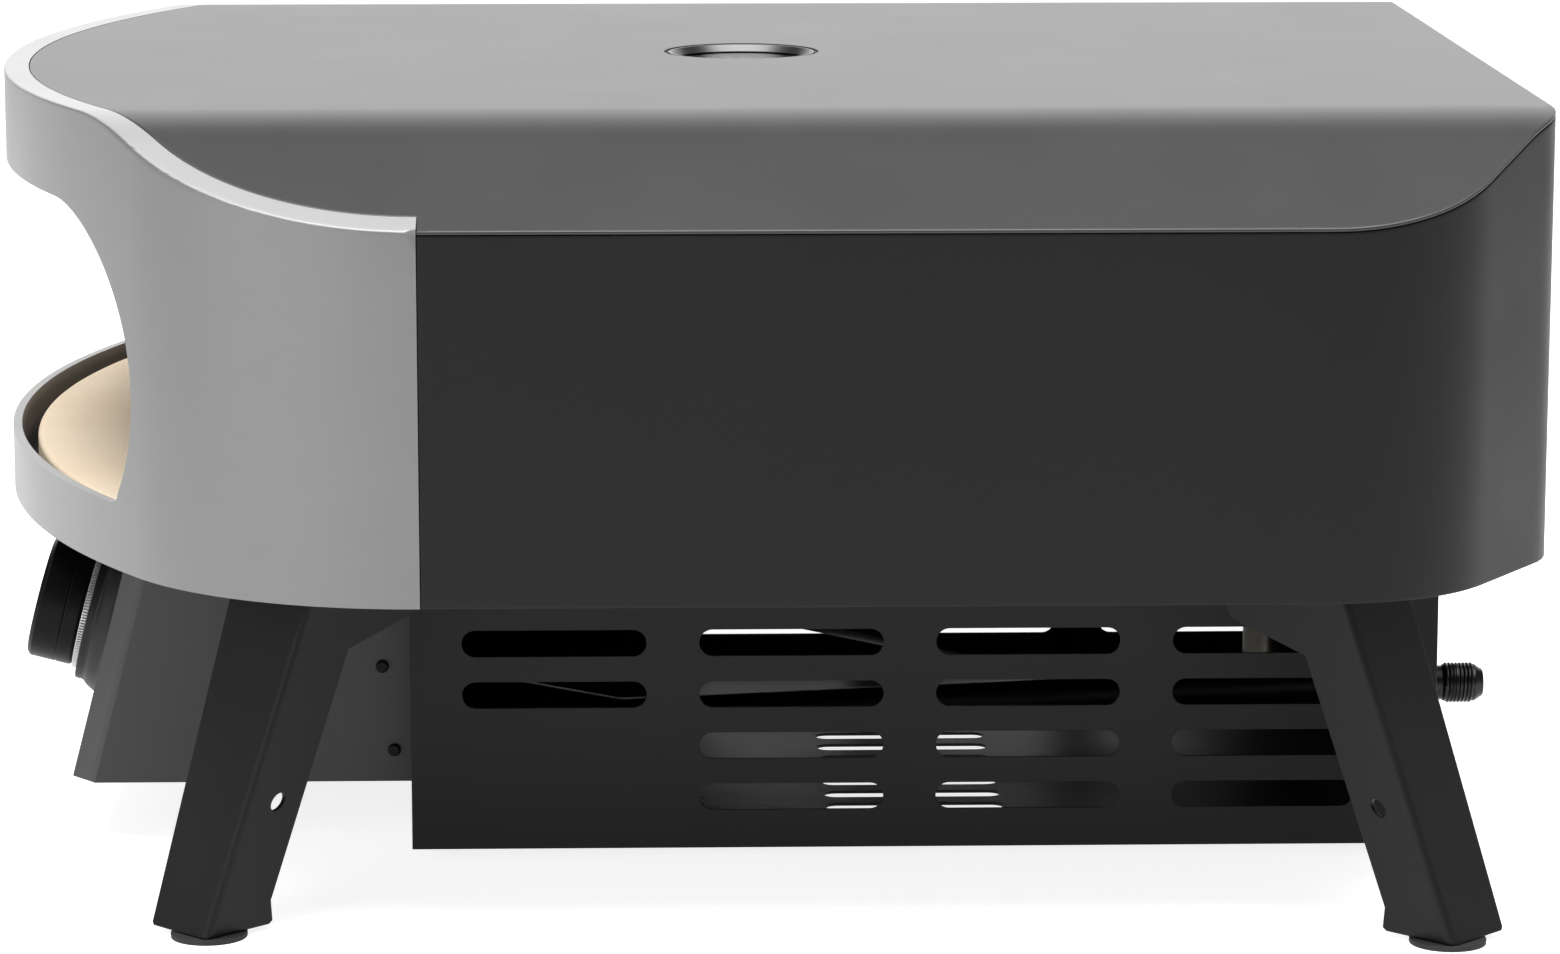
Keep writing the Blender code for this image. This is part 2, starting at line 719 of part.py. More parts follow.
def build_burner():
    """U-shaped burner tube round the sides and back of the stone, its saddles, guard, igniter and riser."""
    corners = [(-BURNER_X, BURNER_FRONT), (-BURNER_X, BURNER_Y), (BURNER_X, BURNER_Y), (BURNER_X, BURNER_FRONT)]
    path = rounded_path([(x, y, BURNER_Z) for x, y in corners], BURNER_BEND, 6)
    sweep("burner_tube", "liner_steel", path, BURNER_R, BURNER_R - BURNER_WALL, 14)
    for side, hand in ((1, "right"), (-1, "left")):
        place = Matrix.Translation((side * BURNER_X, BURNER_FRONT - GAP, BURNER_Z))
        frame = place @ Matrix.Rotation(math.pi / 2, 4, "X")
        lathe(f"burner_cap_{hand}", "liner_steel", rod_profile(CAP_R, 0, CAP_T), 20, frame)

    floor_z = BODY_Z + FLOOR_T + GAP
    saddle_z = BURNER_Z - BURNER_R - GAP
    places = {"right": (BURNER_X, 0), "left": (-BURNER_X, 0)}
    places |= {"rear_right": (SADDLE_REAR_X, BURNER_Y), "rear_left": (-SADDLE_REAR_X, BURNER_Y)}
    for tag, (x, y) in places.items():
        low = (x - SADDLE_HALF, y - SADDLE_HALF, floor_z)
        box(f"burner_saddle_{tag}", "galvanised", low, (x + SADDLE_HALF, y + SADDLE_HALF, saddle_z))

    corners = [(-GUARD_X, BURNER_FRONT), (-GUARD_X, GUARD_Y), (GUARD_X, GUARD_Y), (GUARD_X, BURNER_FRONT)]
    path = rounded_path([(x, y, 0) for x, y in corners], GUARD_BEND, 6)
    outer, inner = [], []
    for i, point in enumerate(path):
        along = (path[min(i + 1, len(path) - 1)] - path[max(i - 1, 0)]).normalized()
        normal = Vector((along.y, -along.x, 0)) * GUARD_T / 2
        outer.append((point - normal)[:2])
        inner.append((point + normal)[:2])
    prism("burner_guard", "liner_steel", outer + inner[::-1], floor_z, floor_z + GUARD_H)

    frame = Matrix.Translation((0, BURNER_Y, 0))
    riser = tube_profile(BURNER_R, BURNER_R - BURNER_WALL, RISER_LOW, saddle_z)
    lathe("burner_riser", "liner_steel", riser, 20, frame)

    tip = BURNER_Z + BURNER_R + IGNITER_TIP
    neck = tip - IGNITER_WIRE
    body = [(0, floor_z), (IGNITER_R, floor_z), (IGNITER_R, neck)]
    body += [(IGNITER_WIRE_R, neck + 1 * MM), (IGNITER_WIRE_R, tip), (0, tip)]
    lathe("igniter_electrode", "ceramic", body, 14, Matrix.Translation((*IGNITER, 0)))


def build_thermometer():
    """Dial thermometer let into the roof: case, bezel ring, dial, pointer, glass, probe and nut."""
    low = HEIGHT - DIAL_DEPTH
    inner = DIAL_R - DIAL_WALL
    floor = low + DIAL_WALL
    rim = HEIGHT - CASE_DROP
    case = [(0, low), (DIAL_R, low), (DIAL_R, rim), (inner, rim), (inner, floor), (0, floor)]
    lathe("thermometer_case", "black_plastic", case, 48)
    dial = floor + GAP
    pin_hole = POINTER_PIN_R + GAP
    lathe("thermometer_dial", "dial_white", tube_profile(inner - GAP, pin_hole, dial, dial + DIAL_T), 48)
    glass = HEIGHT - GLASS_DROP
    lathe("thermometer_glass", "glass", rod_profile(inner - GAP, glass, glass + GLASS_T), 48)
    foot, top = glass + GLASS_T + GAP, HEIGHT - RING_DROP
    ring = [(inner - RING_FOOT, foot), (inner - GAP, foot), (inner - GAP, top), (inner - RING_TOP, top)]
    lathe("thermometer_ring", "bright_metal", ring, 48)
    build_pointer(dial)
    probe_top = low - GAP
    lathe("thermometer_probe", "bright_metal", rod_profile(PROBE_R, probe_top - PROBE_LENGTH, probe_top), 16)
    nut_top = HEIGHT - LINER_DROP - LINER_T - GAP
    nut_low = nut_top - PROBE_NUT_T
    hex_nut("probe_nut", "brass", PROBE_NUT_R, PROBE_R + GAP, nut_low, nut_top, Matrix.Identity(4))


def build_pointer(dial):
    """Tapered pointer on a pin that stands in the dial's hole."""
    low = dial + DIAL_T + GAP
    tail, middle, tip = POINTER_HALF
    right = [(tail, -POINTER_TAIL), (middle, 0), (tip, POINTER_REACH)]
    outline = right + [(-x, y) for x, y in reversed(right)]
    rest = Matrix.Rotation(POINTER_REST, 4, "Z")
    mesh = bmesh.new()
    prism_into(mesh, outline, low, low + POINTER_T, lambda u, v, height: rest @ Vector((u, v, height)))
    blade = add("thermometer_pointer", "pointer_red", mesh)
    pin = lathe("pin", None, rod_profile(POINTER_PIN_R, dial, low + POINTER_T + POINTER_PIN_TOP), 16)
    combine(blade, [pin], "UNION")


def slot_cutters(low, high):
    mesh = bmesh.new()
    for column, rows in enumerate(SLOT_ROWS):
        for row in range(rows):
            y = SLOT_FIRST_Y + column * SLOT_PITCH_Y
            z = SLOT_FIRST_Z - row * SLOT_PITCH_Z
            prism_into(mesh, slot_outline(y, z, SLOT_L, SLOT_H), low, high, along_x)
    return add("slots", None, mesh)


def build_base():
    """Slotted box under the body: two sides, front and rear plates and a slotted floor."""
    top = BODY_Z - GAP
    for side, hand in ((1, "right"), (-1, "left")):
        near, far = sorted((side * (BASE_HALF - BASE_T), side * BASE_HALF))
        panel = box(f"base_side_{hand}", "black_paint", (near, BASE_FRONT, BASE_BOTTOM), (far, BASE_REAR, top))
        combine(panel, [slot_cutters(near - BASE_T, far + BASE_T)])

    half = BASE_HALF - BASE_T - GAP
    floor_top = BASE_BOTTOM + BASE_T
    floor = box("base_floor", "black_paint", (-half, BASE_FRONT, BASE_BOTTOM), (half, BASE_REAR, floor_top))
    mesh = bmesh.new()
    for row in range(FLOOR_SLOT_ROWS):
        x = (row - FLOOR_SLOT_ROWS // 2) * FLOOR_SLOT_PITCH
        outline = [(v, u) for u, v in slot_outline(FLOOR_SLOT_Y, x, SLOT_L, SLOT_H)]
        prism_into(mesh, outline, 0, floor_top + BASE_T, upright)
    combine(floor, [add("slots", None, mesh)])

    low_z = floor_top + GAP
    rear = box("base_rear", "black_paint", (-half, BASE_REAR - BASE_T, low_z), (half, BASE_REAR, top))
    drill = rod_profile(THREAD_R + 2 * GAP, -4 * BASE_T, 4 * BASE_T)
    combine(rear, [lathe("hole", None, drill, 24, rear_frame(BASE_REAR))])
    front = box("base_front", "black_paint", (-half, BASE_FRONT, low_z), (half, BASE_FRONT + BASE_T, top))
    door_half = CTRL_HALF - DOOR_SIDE
    low = (-door_half, BASE_FRONT - BASE_T, CTRL_Z + DOOR_LOW)
    high = (door_half, BASE_FRONT + 3 * BASE_T, top - DOOR_HIGH)
    combine(front, [box("opening", None, low, high)])


def rear_frame(y):
    """Frame on the gas inlet's axis whose Z points out of the back."""
    return Matrix.Translation((INLET_X, y, INLET_Z)) @ Matrix.Rotation(-math.pi / 2, 4, "X")


def fascia_y(z):
    """Outer face of the tilted fascia at a height."""
    return FASCIA_FOOT_Y + (z - CTRL_Z) * math.tan(TILT)


def fascia_frame():
    """Frame on the knob's axis whose Z points out of the fascia."""
    return Matrix.Translation((0, fascia_y(KNOB_Z), KNOB_Z)) @ Matrix.Rotation(math.pi / 2 - TILT, 4, "X")


def control_outline(inset, z):
    """Plan of the control box at a height, from its rear right corner round the front to its rear left."""
    half = CTRL_HALF - inset
    front = fascia_y(z) + inset
    rear = BASE_FRONT - GAP
    right = [(half, rear), (half, front + CHAMFER_Y), (half - CHAMFER_X, front)]
    return right + [(-x, y) for x, y in reversed(right)]


def ring_shell(name, look, low, high, thickness):
    """Open-topped, open-backed shell that follows the control box between two heights."""
    mesh = bmesh.new()
    levels = []
    for z in (low, high):
        outer = [mesh.verts.new((x, y, z)) for x, y in control_outline(0, z)]
        inner = [mesh.verts.new((x, y, z)) for x, y in control_outline(thickness, z)]
        levels.append(outer + inner[::-1])
    count = len(levels[0])
    mesh.faces.new(levels[0][::-1])
    mesh.faces.new(levels[1])
    for i in range(count):
        j = (i + 1) % count
        mesh.faces.new((levels[0][i], levels[0][j], levels[1][j], levels[1][i]))
    return add(name, look, mesh)


def build_control():
    """Control box and its bottom plate, screws, bezel, knob, stem and valve."""
    shell = ring_shell("control_shell", "black_paint", CTRL_Z, BODY_Z - GAP, FASCIA_T)
    frame = fascia_frame()
    drills = [lathe("hole", None, rod_profile(STEM_HOLE_R, -8 * MM, 8 * MM), 28, frame)]
    head = [(0, -SCREW_LENGTH), (SCREW_R - GAP, -SCREW_LENGTH), (SCREW_R - GAP, GAP), (SCREW_HEAD_R, GAP)]
    head += [(SCREW_HEAD_R, SCREW_HEAD_T), (SCREW_R, SCREW_HEAD_T + 2 * GAP), (0, SCREW_HEAD_T + 2 * GAP)]
    for row, y, z in SCREWS:
        for side, hand in ((1, "right"), (-1, "left")):
            place = Matrix.Translation((side * CTRL_HALF, y, z)) @ Matrix.Rotation(side * math.pi / 2, 4, "Y")
            lathe(f"control_screw_{row}_{hand}", "black_plastic", head, 14, place)
            pilot = rod_profile(SCREW_R, -SCREW_LENGTH, SCREW_LENGTH)
            drills.append(lathe("pilot", None, pilot, 14, place))
    combine(shell, drills)
    floor = control_outline(FASCIA_T + GAP, CTRL_Z + FASCIA_T)
    prism("control_floor", "black_paint", floor, CTRL_Z, CTRL_Z + FASCIA_T)
    build_bezel(frame)
    build_knob(frame)
    build_valve(frame)


def build_bezel(frame):
    """Flared collar that the knob dips into when it is pressed."""
    inner = BEZEL_R - BEZEL_WALL
    bezel = [
        (STEM_HOLE_R, GAP),
        (BEZEL_FLARE_R, GAP),
        (BEZEL_FLARE_R, GAP + BEZEL_FLARE_T),
        BEZEL_NECK,
        (BEZEL_R, BEZEL_RIM),
        (BEZEL_R, BEZEL_FRONT),
        (inner, BEZEL_FRONT),
        (inner, BEZEL_FLOOR),
        (STEM_HOLE_R, BEZEL_FLOOR),
    ]
    lathe("knob_bezel", "black_plastic", bezel, 40, frame)


def build_knob(frame):
    """Knob and its bright ring on the valve stem, and the collar that the press moves alone."""
    bore = STEM_R + GAP
    back = RING_BACK + RING_T + GAP
    stem_top = back + KNOB_BORE
    knob = [
        (bore, back),
        (KNOB_R, back),
        (KNOB_R, KNOB_FACE - KNOB_EDGE),
        (KNOB_R - KNOB_EDGE, KNOB_FACE),
        (0, KNOB_FACE),
        (0, stem_top),
        (bore, stem_top),
    ]
    lathe("knob", "black_plastic", knob, 40, frame)
    lathe("knob_ring", "bright_metal", tube_profile(RING_R, bore, RING_BACK, RING_BACK + RING_T), 60, frame)
    lathe("valve_stem", "brass", rod_profile(STEM_R, STEM_LOW, stem_top - GAP), 16, frame)
    collar = tube_profile(COLLAR_R, bore, COLLAR_LOW, COLLAR_LOW + COLLAR_T)
    lathe("stem_collar", "galvanised", collar, 20, frame)


def build_valve(frame):
    """Gas valve under the stem, with room for the press, and the plate that holds it to the fascia."""
    bore = STEM_R + GAP
    seat = STEM_LOW - PRESS - 1 * MM
    valve = [
        (bore, VALVE_TOP),
        (VALVE_NECK_R, VALVE_TOP),
        (VALVE_NECK_R, VALVE_NECK),
        (VALVE_R, VALVE_SHOULDER),
        (VALVE_R, VALVE_END),
        (0, VALVE_END),
        (0, seat),
        (bore, seat),
    ]
    lathe("gas_valve", "brass", valve, 24, frame)
    top = -FASCIA_T - GAP
    lathe("valve_plate", "galvanised", tube_profile(PLATE_R, VALVE_NECK_R + GAP, top - PLATE_T, top), 28, frame)


def build_gas_line():
    """Threaded inlet and its nut, supply pipe to the valve, feed pipe to the burner's jet holder."""
    frame = rear_frame(BASE_REAR)
    shank = THREAD_R - GAP
    groove = THREAD_ROOT_R - 2 * GAP
    start = INLET_END - INLET_NOSE - THREAD_TURNS * THREAD_PITCH
    profile = [(INLET_BORE, INLET_BACK), (shank, INLET_BACK), (shank, start - INLET_GROOVE - 1 * MM)]
    profile += [(groove, start - INLET_GROOVE), (groove, start)]
    for turn in range(THREAD_TURNS):
        base = start + turn * THREAD_PITCH
        profile += [(THREAD_ROOT_R, base), (THREAD_R, base + THREAD_PITCH * 0.4)]
        profile += [(THREAD_R, base + THREAD_PITCH * 0.6), (THREAD_ROOT_R, base + THREAD_PITCH)]
    shoulder, tip = INLET_NOSE_R
    profile += [(shoulder, INLET_END - 3 * MM), (tip, INLET_END - 1 * MM), (INLET_BORE, INLET_END)]
    lathe("gas_inlet", "dark_steel", profile, 24, frame)
    hex_nut("inlet_nut", "dark_steel", NUT_R, shank + GAP, GAP, NUT_T, frame)

    axis = (fascia_frame().to_3x3() @ Vector((0, 0, -1))).normalized()
    valve_end = fascia_frame() @ Vector((0, 0, VALVE_END - GAP))
    inlet_end = Vector((INLET_X, BASE_REAR + INLET_BACK - GAP, INLET_Z))
    straight_in, straight_out = PIPE_STRAIGHT
    supply = [
        inlet_end,
        inlet_end + Vector((0, -straight_in, 0)),
        Vector(PIPE_LOW),
        valve_end + axis * straight_out,
        valve_end,
    ]
    sweep("supply_pipe", "black_plastic", rounded_path(supply, PIPE_BEND, 4), PIPE_R, PIPE_R - PIPE_WALL, 12)

    side = fascia_frame() @ Vector((-VALVE_R - GAP, 0, FEED_DROP))
    jet_top = RISER_LOW - GAP
    run_z = RISER_LOW - 10 * MM
    feed = [
        side,
        side + Vector((-FEED_SIDE, 0, 0)),
        Vector((FEED_X, -60 * MM, CTRL_Z + 44 * MM)),
        Vector((FEED_X, BURNER_Y - 60 * MM, run_z)),
        Vector((0, BURNER_Y - 24 * MM, run_z)),
        Vector((0, BURNER_Y - JET_R - 2 * GAP, run_z)),
    ]
    sweep("feed_pipe", "brass", rounded_path(feed, FEED_BEND, 4), FEED_R, FEED_R - FEED_WALL, 10)
    bore, depth = JET_BORE
    jet = [(0, jet_top - JET_H), (JET_R, jet_top - JET_H), (JET_R, jet_top), (bore, jet_top)]
    jet += [(bore, jet_top - depth), (0, jet_top - depth)]
    lathe("jet_holder", "brass", jet, 6, Matrix.Translation((0, BURNER_Y, 0)))


def leg_arms(mirror):
    """Plan directions of the leg's outer and inner faces, away from the bend; mirror is the sign of Y."""
    outer = Vector((-CORNER_COS, mirror * CORNER_COS, 0))
    inner = Vector((-CORNER_COS, -mirror * CORNER_COS, 0))
    return outer, inner


def leg_ring(mesh, bend, outer_w, inner_w, mirror):
    """The six corners of the leg's angle section round a point on its outer bend."""
    outer, inner = leg_arms(mirror)
    inner_bend = bend + Vector((-LEG_T / CORNER_COS, 0, 0))
    outer_end = bend + outer * outer_w
    inner_end = bend + inner * inner_w
    points = [outer_end, bend, inner_end]
    points += [inner_end + outer * LEG_T, inner_bend, outer_end + inner * LEG_T]
    return [mesh.verts.new(p) for p in points]


def leg_plate(bend, outer_w, inner_w, mirror, low, high):
    """Triangular plate between the leg's two faces, let into them a little."""
    outer, inner = leg_arms(mirror)
    corner = bend + Vector((-LEG_OVERLAP, 0, 0))
    outline = [(corner + outer * outer_w)[:2], corner[:2], (corner + inner * inner_w)[:2]]
    return prism("plate", None, outline, low, high)


def build_leg(name, foot, outer_top, mirror, side):
    """One bent-sheet leg: angle section that leans out, a gusset and flange on top, a tab below."""
    top_z = BODY_Z - GAP
    low_z = LEG_FOOT_Z

    def bend(z):
        up = z - low_z
        return Vector((foot[0] - LEG_SPLAY_X * up, foot[1] - mirror * LEG_SPLAY_Y * up, z))

    def outer_width(z):
        return LEG_OUTER_LOW + (outer_top - LEG_OUTER_LOW) * (z - low_z) / (top_z - low_z)

    wide = LEG_FACE + LEG_GUSSET
    gusset_top = LEG_GUSSET_Z + LEG_GUSSET_H
    levels = [
        (low_z, LEG_OUTER_LOW - LEG_TIP, LEG_FACE + LEG_STEP - LEG_TIP),
        (low_z + LEG_TIP, LEG_OUTER_LOW, LEG_FACE + LEG_STEP),
        (low_z + LEG_STEP_Z, outer_width(low_z + LEG_STEP_Z), LEG_FACE),
        (LEG_GUSSET_Z, outer_width(LEG_GUSSET_Z), LEG_FACE),
        (gusset_top, outer_width(gusset_top), wide),
        (top_z, outer_top, wide + LEG_STEP),
    ]
    mesh = bmesh.new()
    rings = [leg_ring(mesh, bend(z), outer_w, inner_w, mirror) for z, outer_w, inner_w in levels]
    for low, high in zip(rings, rings[1:]):
        for i in range(6):
            j = (i + 1) % 6
            mesh.faces.new((low[i], low[j], high[j], high[i]))
    mesh.faces.new(rings[0])
    mesh.faces.new(rings[-1][::-1])
    leg = add(name, "black_paint", mesh)
    flange = leg_plate(bend(top_z), outer_top - LEG_T, wide, mirror, top_z - LEG_T, top_z)
    tab_w = LEG_FACE - 2 * LEG_T
    tab = leg_plate(bend(low_z), tab_w, tab_w, mirror, low_z, low_z + LEG_T)
    combine(leg, [flange, tab], "UNION")

    _, inner = leg_arms(mirror)
    turn = Matrix.Rotation(-mirror * math.pi / 4, 4, "Z") @ Matrix.Rotation(math.pi / 2, 4, "Y")
    frame = Matrix.Translation(bend(LEG_HOLE_Z) + inner * LEG_HOLE_IN) @ turn
    drill = lathe("drill", None, rod_profile(LEG_HOLE_R, -3 * LEG_T, 3 * LEG_T), 16, frame)
    pad = bend(low_z) + Vector((-FOOT_IN, 0, 0))
    pilot = disc("pilot", pad.x, pad.y, PILOT_R, 0, low_z + 3 * LEG_T, 14)
    combine(leg, [drill, pilot])
    if side < 0:
        leg.data.transform(Matrix.Diagonal((-1, 1, 1, 1)))
        leg.data.flip_normals()
    return side * pad.x, pad.y


def build_legs():
    """Four legs with a rubber foot under each."""
    pad_top = LEG_FOOT_Z - GAP
    tab_top = LEG_FOOT_Z + LEG_T
    foot = [
        (0, 0),
        (FOOT_R - FOOT_EDGE, 0),
        (FOOT_R, FOOT_EDGE),
        (FOOT_R, pad_top - GAP),
        (FOOT_R - GAP, pad_top),
        (FOOT_STUD_R, pad_top),
        (FOOT_STUD_R, tab_top + GAP),
        (FOOT_HEAD_R, tab_top + GAP),
        (FOOT_HEAD_R - 2 * GAP, tab_top + FOOT_HEAD_T),
        (0, tab_top + FOOT_HEAD_T + GAP),
    ]
    front_top, rear_top = LEG_OUTER_TOP
    for side, hand in ((1, "right"), (-1, "left")):
        for place, top, mirror, tag in ((LEG_FRONT, front_top, -1, "front"), (LEG_REAR, rear_top, 1, "rear")):
            x, y = build_leg(f"leg_{tag}_{hand}", place, top, mirror, side)
            lathe(f"foot_{tag}_{hand}", "rubber", foot, 28, Matrix.Translation((x, y, 0)))


def build():
    clear_scene()
    build_shell()
    build_chamber()
    build_burner()
    build_thermometer()
    build_base()
    build_control()
    build_gas_line()
    build_legs()


build()
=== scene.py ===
import json
import math

import bmesh
import bpy
from mathutils import Euler, Matrix, Vector
from mathutils.geometry import delaunay_2d_cdt


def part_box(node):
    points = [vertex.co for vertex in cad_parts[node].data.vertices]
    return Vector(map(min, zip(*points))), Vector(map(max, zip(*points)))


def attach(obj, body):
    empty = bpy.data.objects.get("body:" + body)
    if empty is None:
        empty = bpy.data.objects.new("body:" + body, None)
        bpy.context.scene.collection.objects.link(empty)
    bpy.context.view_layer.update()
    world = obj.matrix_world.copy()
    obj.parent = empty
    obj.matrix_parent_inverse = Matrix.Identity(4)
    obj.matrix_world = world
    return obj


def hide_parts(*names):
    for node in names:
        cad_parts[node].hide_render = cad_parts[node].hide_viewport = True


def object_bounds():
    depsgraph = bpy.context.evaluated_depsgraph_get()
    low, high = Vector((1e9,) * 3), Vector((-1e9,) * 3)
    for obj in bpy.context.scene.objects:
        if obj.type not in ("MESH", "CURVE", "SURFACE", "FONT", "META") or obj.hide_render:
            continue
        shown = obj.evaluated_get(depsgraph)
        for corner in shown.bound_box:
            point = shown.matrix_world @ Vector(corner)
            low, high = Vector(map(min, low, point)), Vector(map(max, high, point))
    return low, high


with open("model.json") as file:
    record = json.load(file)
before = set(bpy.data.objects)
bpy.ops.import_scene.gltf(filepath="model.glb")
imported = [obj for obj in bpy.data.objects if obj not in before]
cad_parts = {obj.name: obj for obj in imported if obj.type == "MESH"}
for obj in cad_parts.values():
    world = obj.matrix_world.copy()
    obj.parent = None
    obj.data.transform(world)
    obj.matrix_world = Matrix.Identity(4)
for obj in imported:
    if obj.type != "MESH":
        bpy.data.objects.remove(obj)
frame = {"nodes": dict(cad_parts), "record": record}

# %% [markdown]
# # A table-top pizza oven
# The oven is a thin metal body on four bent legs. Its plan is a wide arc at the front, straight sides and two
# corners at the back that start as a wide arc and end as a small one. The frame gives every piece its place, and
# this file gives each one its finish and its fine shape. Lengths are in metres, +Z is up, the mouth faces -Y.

MM = 0.001


def to_scene(name, data):
    """Puts data into the scene as a named object."""
    made = bpy.data.objects.new(name, data)
    bpy.context.scene.collection.objects.link(made)
    return made


cad_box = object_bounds()
low, high = Vector(cad_box[0]), Vector(cad_box[1])
half_w, front_y, rear_y, height = high.x, low.y, high.y, high.z
body_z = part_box("front_band")[0][2]
print("oven", [round(v * 1000, 1) for v in high - low], "mm, body starts at", round(body_z * 1000, 1))

# %% [markdown]
# ## Camera
# A long lens from the right-hand side, a little above the roof, keeps the body's lines almost parallel. The aim
# is set by two angles, because a camera that tracks a target would turn when the target is moved.

# %% Camera
CAMERA_PLACE = Vector((2.1011, -0.0418, height + 0.2128))
CAMERA_DOWN = math.radians(10.41)
CAMERA_TURN = math.radians(1.5)
CAMERA_LENS, CAMERA_FILM, CAMERA_SHIFT = 121.48, 36, 0.0037

camera_data = bpy.data.cameras.new("camera")
camera_data.sensor_width = CAMERA_FILM
camera_data.lens = CAMERA_LENS
camera_data.shift_x = CAMERA_SHIFT
camera = to_scene("camera", camera_data)
aim = Vector(
    (
        -math.cos(CAMERA_DOWN) * math.cos(CAMERA_TURN),
        math.cos(CAMERA_DOWN) * math.sin(CAMERA_TURN),
        -math.sin(CAMERA_DOWN),
    )
)
camera.location = CAMERA_PLACE
camera.rotation_euler = aim.to_track_quat("-Z", "Y").to_euler()
bpy.context.scene.camera = camera
bpy.context.scene.view_settings.view_transform = "Standard"

# %% [markdown]
# ## Adding nodes
# Shader trees and geometry trees are both built from text, so one helper serves them. It makes a node, sets its
# properties, and fills each input with a value or with a link from another node's output.


# %% One helper for every node tree
def fill(tree, node, inputs):
    """Gives each input a value, or a link where the value is another node's output."""
    for key, value in inputs.items():
        if isinstance(value, bpy.types.NodeSocket):
            tree.links.new(value, node.inputs[key])
        else:
            node.inputs[key].default_value = value


def add_node(tree, kind, inputs=None, **settings):
    node = tree.nodes.new(kind)
    for name, value in settings.items():
        setattr(node, name, value)
    fill(tree, node, inputs or {})
    return node


def linear(code):
    """A colour from its sRGB hex code, as the linear values that Blender works in."""
    parts = [int(code[i : i + 2], 16) / 255 for i in (0, 2, 4)]
    return [p / 12.92 if p <= 0.04045 else ((p + 0.055) / 1.055) ** 2.4 for p in parts] + [1.0]


# %% [markdown]
# ## Light
# Satin paint shows what it reflects. A soft white ceiling and a wide white wall behind the oven put the long
# bright reflection on the roof, and a dimmer room in front leaves the near side dark. The backdrop is plain white,
# and the oven itself sees a room of a fifth of that brightness.

# %% World and lights
ROOM_LIGHT = 0.2
world = bpy.data.worlds.new("studio")
bpy.context.scene.world = world
world.use_nodes = True
tree = world.node_tree
tree.nodes.clear()
seen = add_node(tree, "ShaderNodeBackground", {"Color": linear("FFFFFF"), "Strength": 1.0})
room = add_node(tree, "ShaderNodeBackground", {"Color": linear("FFFFFF"), "Strength": ROOM_LIGHT})
ray = add_node(tree, "ShaderNodeLightPath")
mix = add_node(tree, "ShaderNodeMixShader", {0: ray.outputs["Is Camera Ray"], 1: room.outputs[0], 2: seen.outputs[0]})
add_node(tree, "ShaderNodeOutputWorld", {"Surface": mix.outputs[0]})


def soft_light(name, place, target, width, depth, power):
    """A flat rectangular lamp that faces its target, with its power in watts."""
    data = bpy.data.lights.new(name, "AREA")
    data.shape = "RECTANGLE"
    data.size, data.size_y = width, depth
    data.energy = power
    lamp = to_scene(name, data)
    lamp.location = place
    lamp.rotation_euler = (Vector(target) - Vector(place)).to_track_quat("-Z", "Y").to_euler()


LIGHTS = (  # name, place, target, width, depth, watts
    ("ceiling_light", (0.62, 0, 2.6), (0.62, 0, 0), 2.4, 3.0, 180),
    ("back_wall_light", (-2.8, 0.2, 1.1), (0, 0, 0.2), 5.0, 2.0, 46),
    ("front_light", (1.5, -1.8, 0.8), (0, -0.1, 0.1), 2.2, 1.6, 18),
    ("rear_light", (1.0, 2.4, 0.8), (0.2, 0.2, 0.1), 1.4, 1.2, 1.5),
)
for light in LIGHTS:
    soft_light(*light)
print(len(LIGHTS), "lights")

# %% [markdown]
# ## Finishes
# Most of this oven is sheet steel under powder coat. The powder melts into a skin with faint ripples about a
# millimetre and a half across, so the highlight on it is soft and slightly uneven. Each finish below starts from
# one real material and takes its pattern sizes from it.


# %% A starting point for each finish
def new_finish(name):
    """A named material, with its tree, its main shader and its coordinates in metres."""
    made = bpy.data.materials.new(name)
    made.use_nodes = True
    tree = made.node_tree
    shader = tree.nodes["Principled BSDF"]
    place = add_node(tree, "ShaderNodeTexCoord").outputs["Object"]
    return made, tree, shader, place


def blend_colours(tree, amount, first, second):
    """The first colour where amount is 0, the second where it is 1."""
    mix = add_node(tree, "ShaderNodeMix", {0: amount, 6: first, 7: second}, data_type="RGBA")
    return mix.outputs[2]


def spread(tree, value, low, high):
    """Stretches a pattern to the range low to high. Nearly all of a noise lies between 0.25 and 0.75."""
    node = add_node(tree, "ShaderNodeMapRange", {0: value, 1: 0.25, 2: 0.75, 3: low, 4: high})
    return node.outputs[0]


def noise(tree, place, size, detail=3.0, roughness=0.5):
    """Cloudy pattern whose blobs are about the given size across."""
    inputs = {"Vector": place, "Scale": 1 / size, "Detail": detail, "Roughness": roughness}
    return add_node(tree, "ShaderNodeTexNoise", inputs).outputs[0]


def bump(tree, shader, value, depth, strength=1.0):
    """Tilts the surface as if the pattern were relief of the given depth."""
    node = add_node(tree, "ShaderNodeBump", {"Height": value, "Distance": depth, "Strength": strength})
    tree.links.new(node.outputs[0], shader.inputs["Normal"])


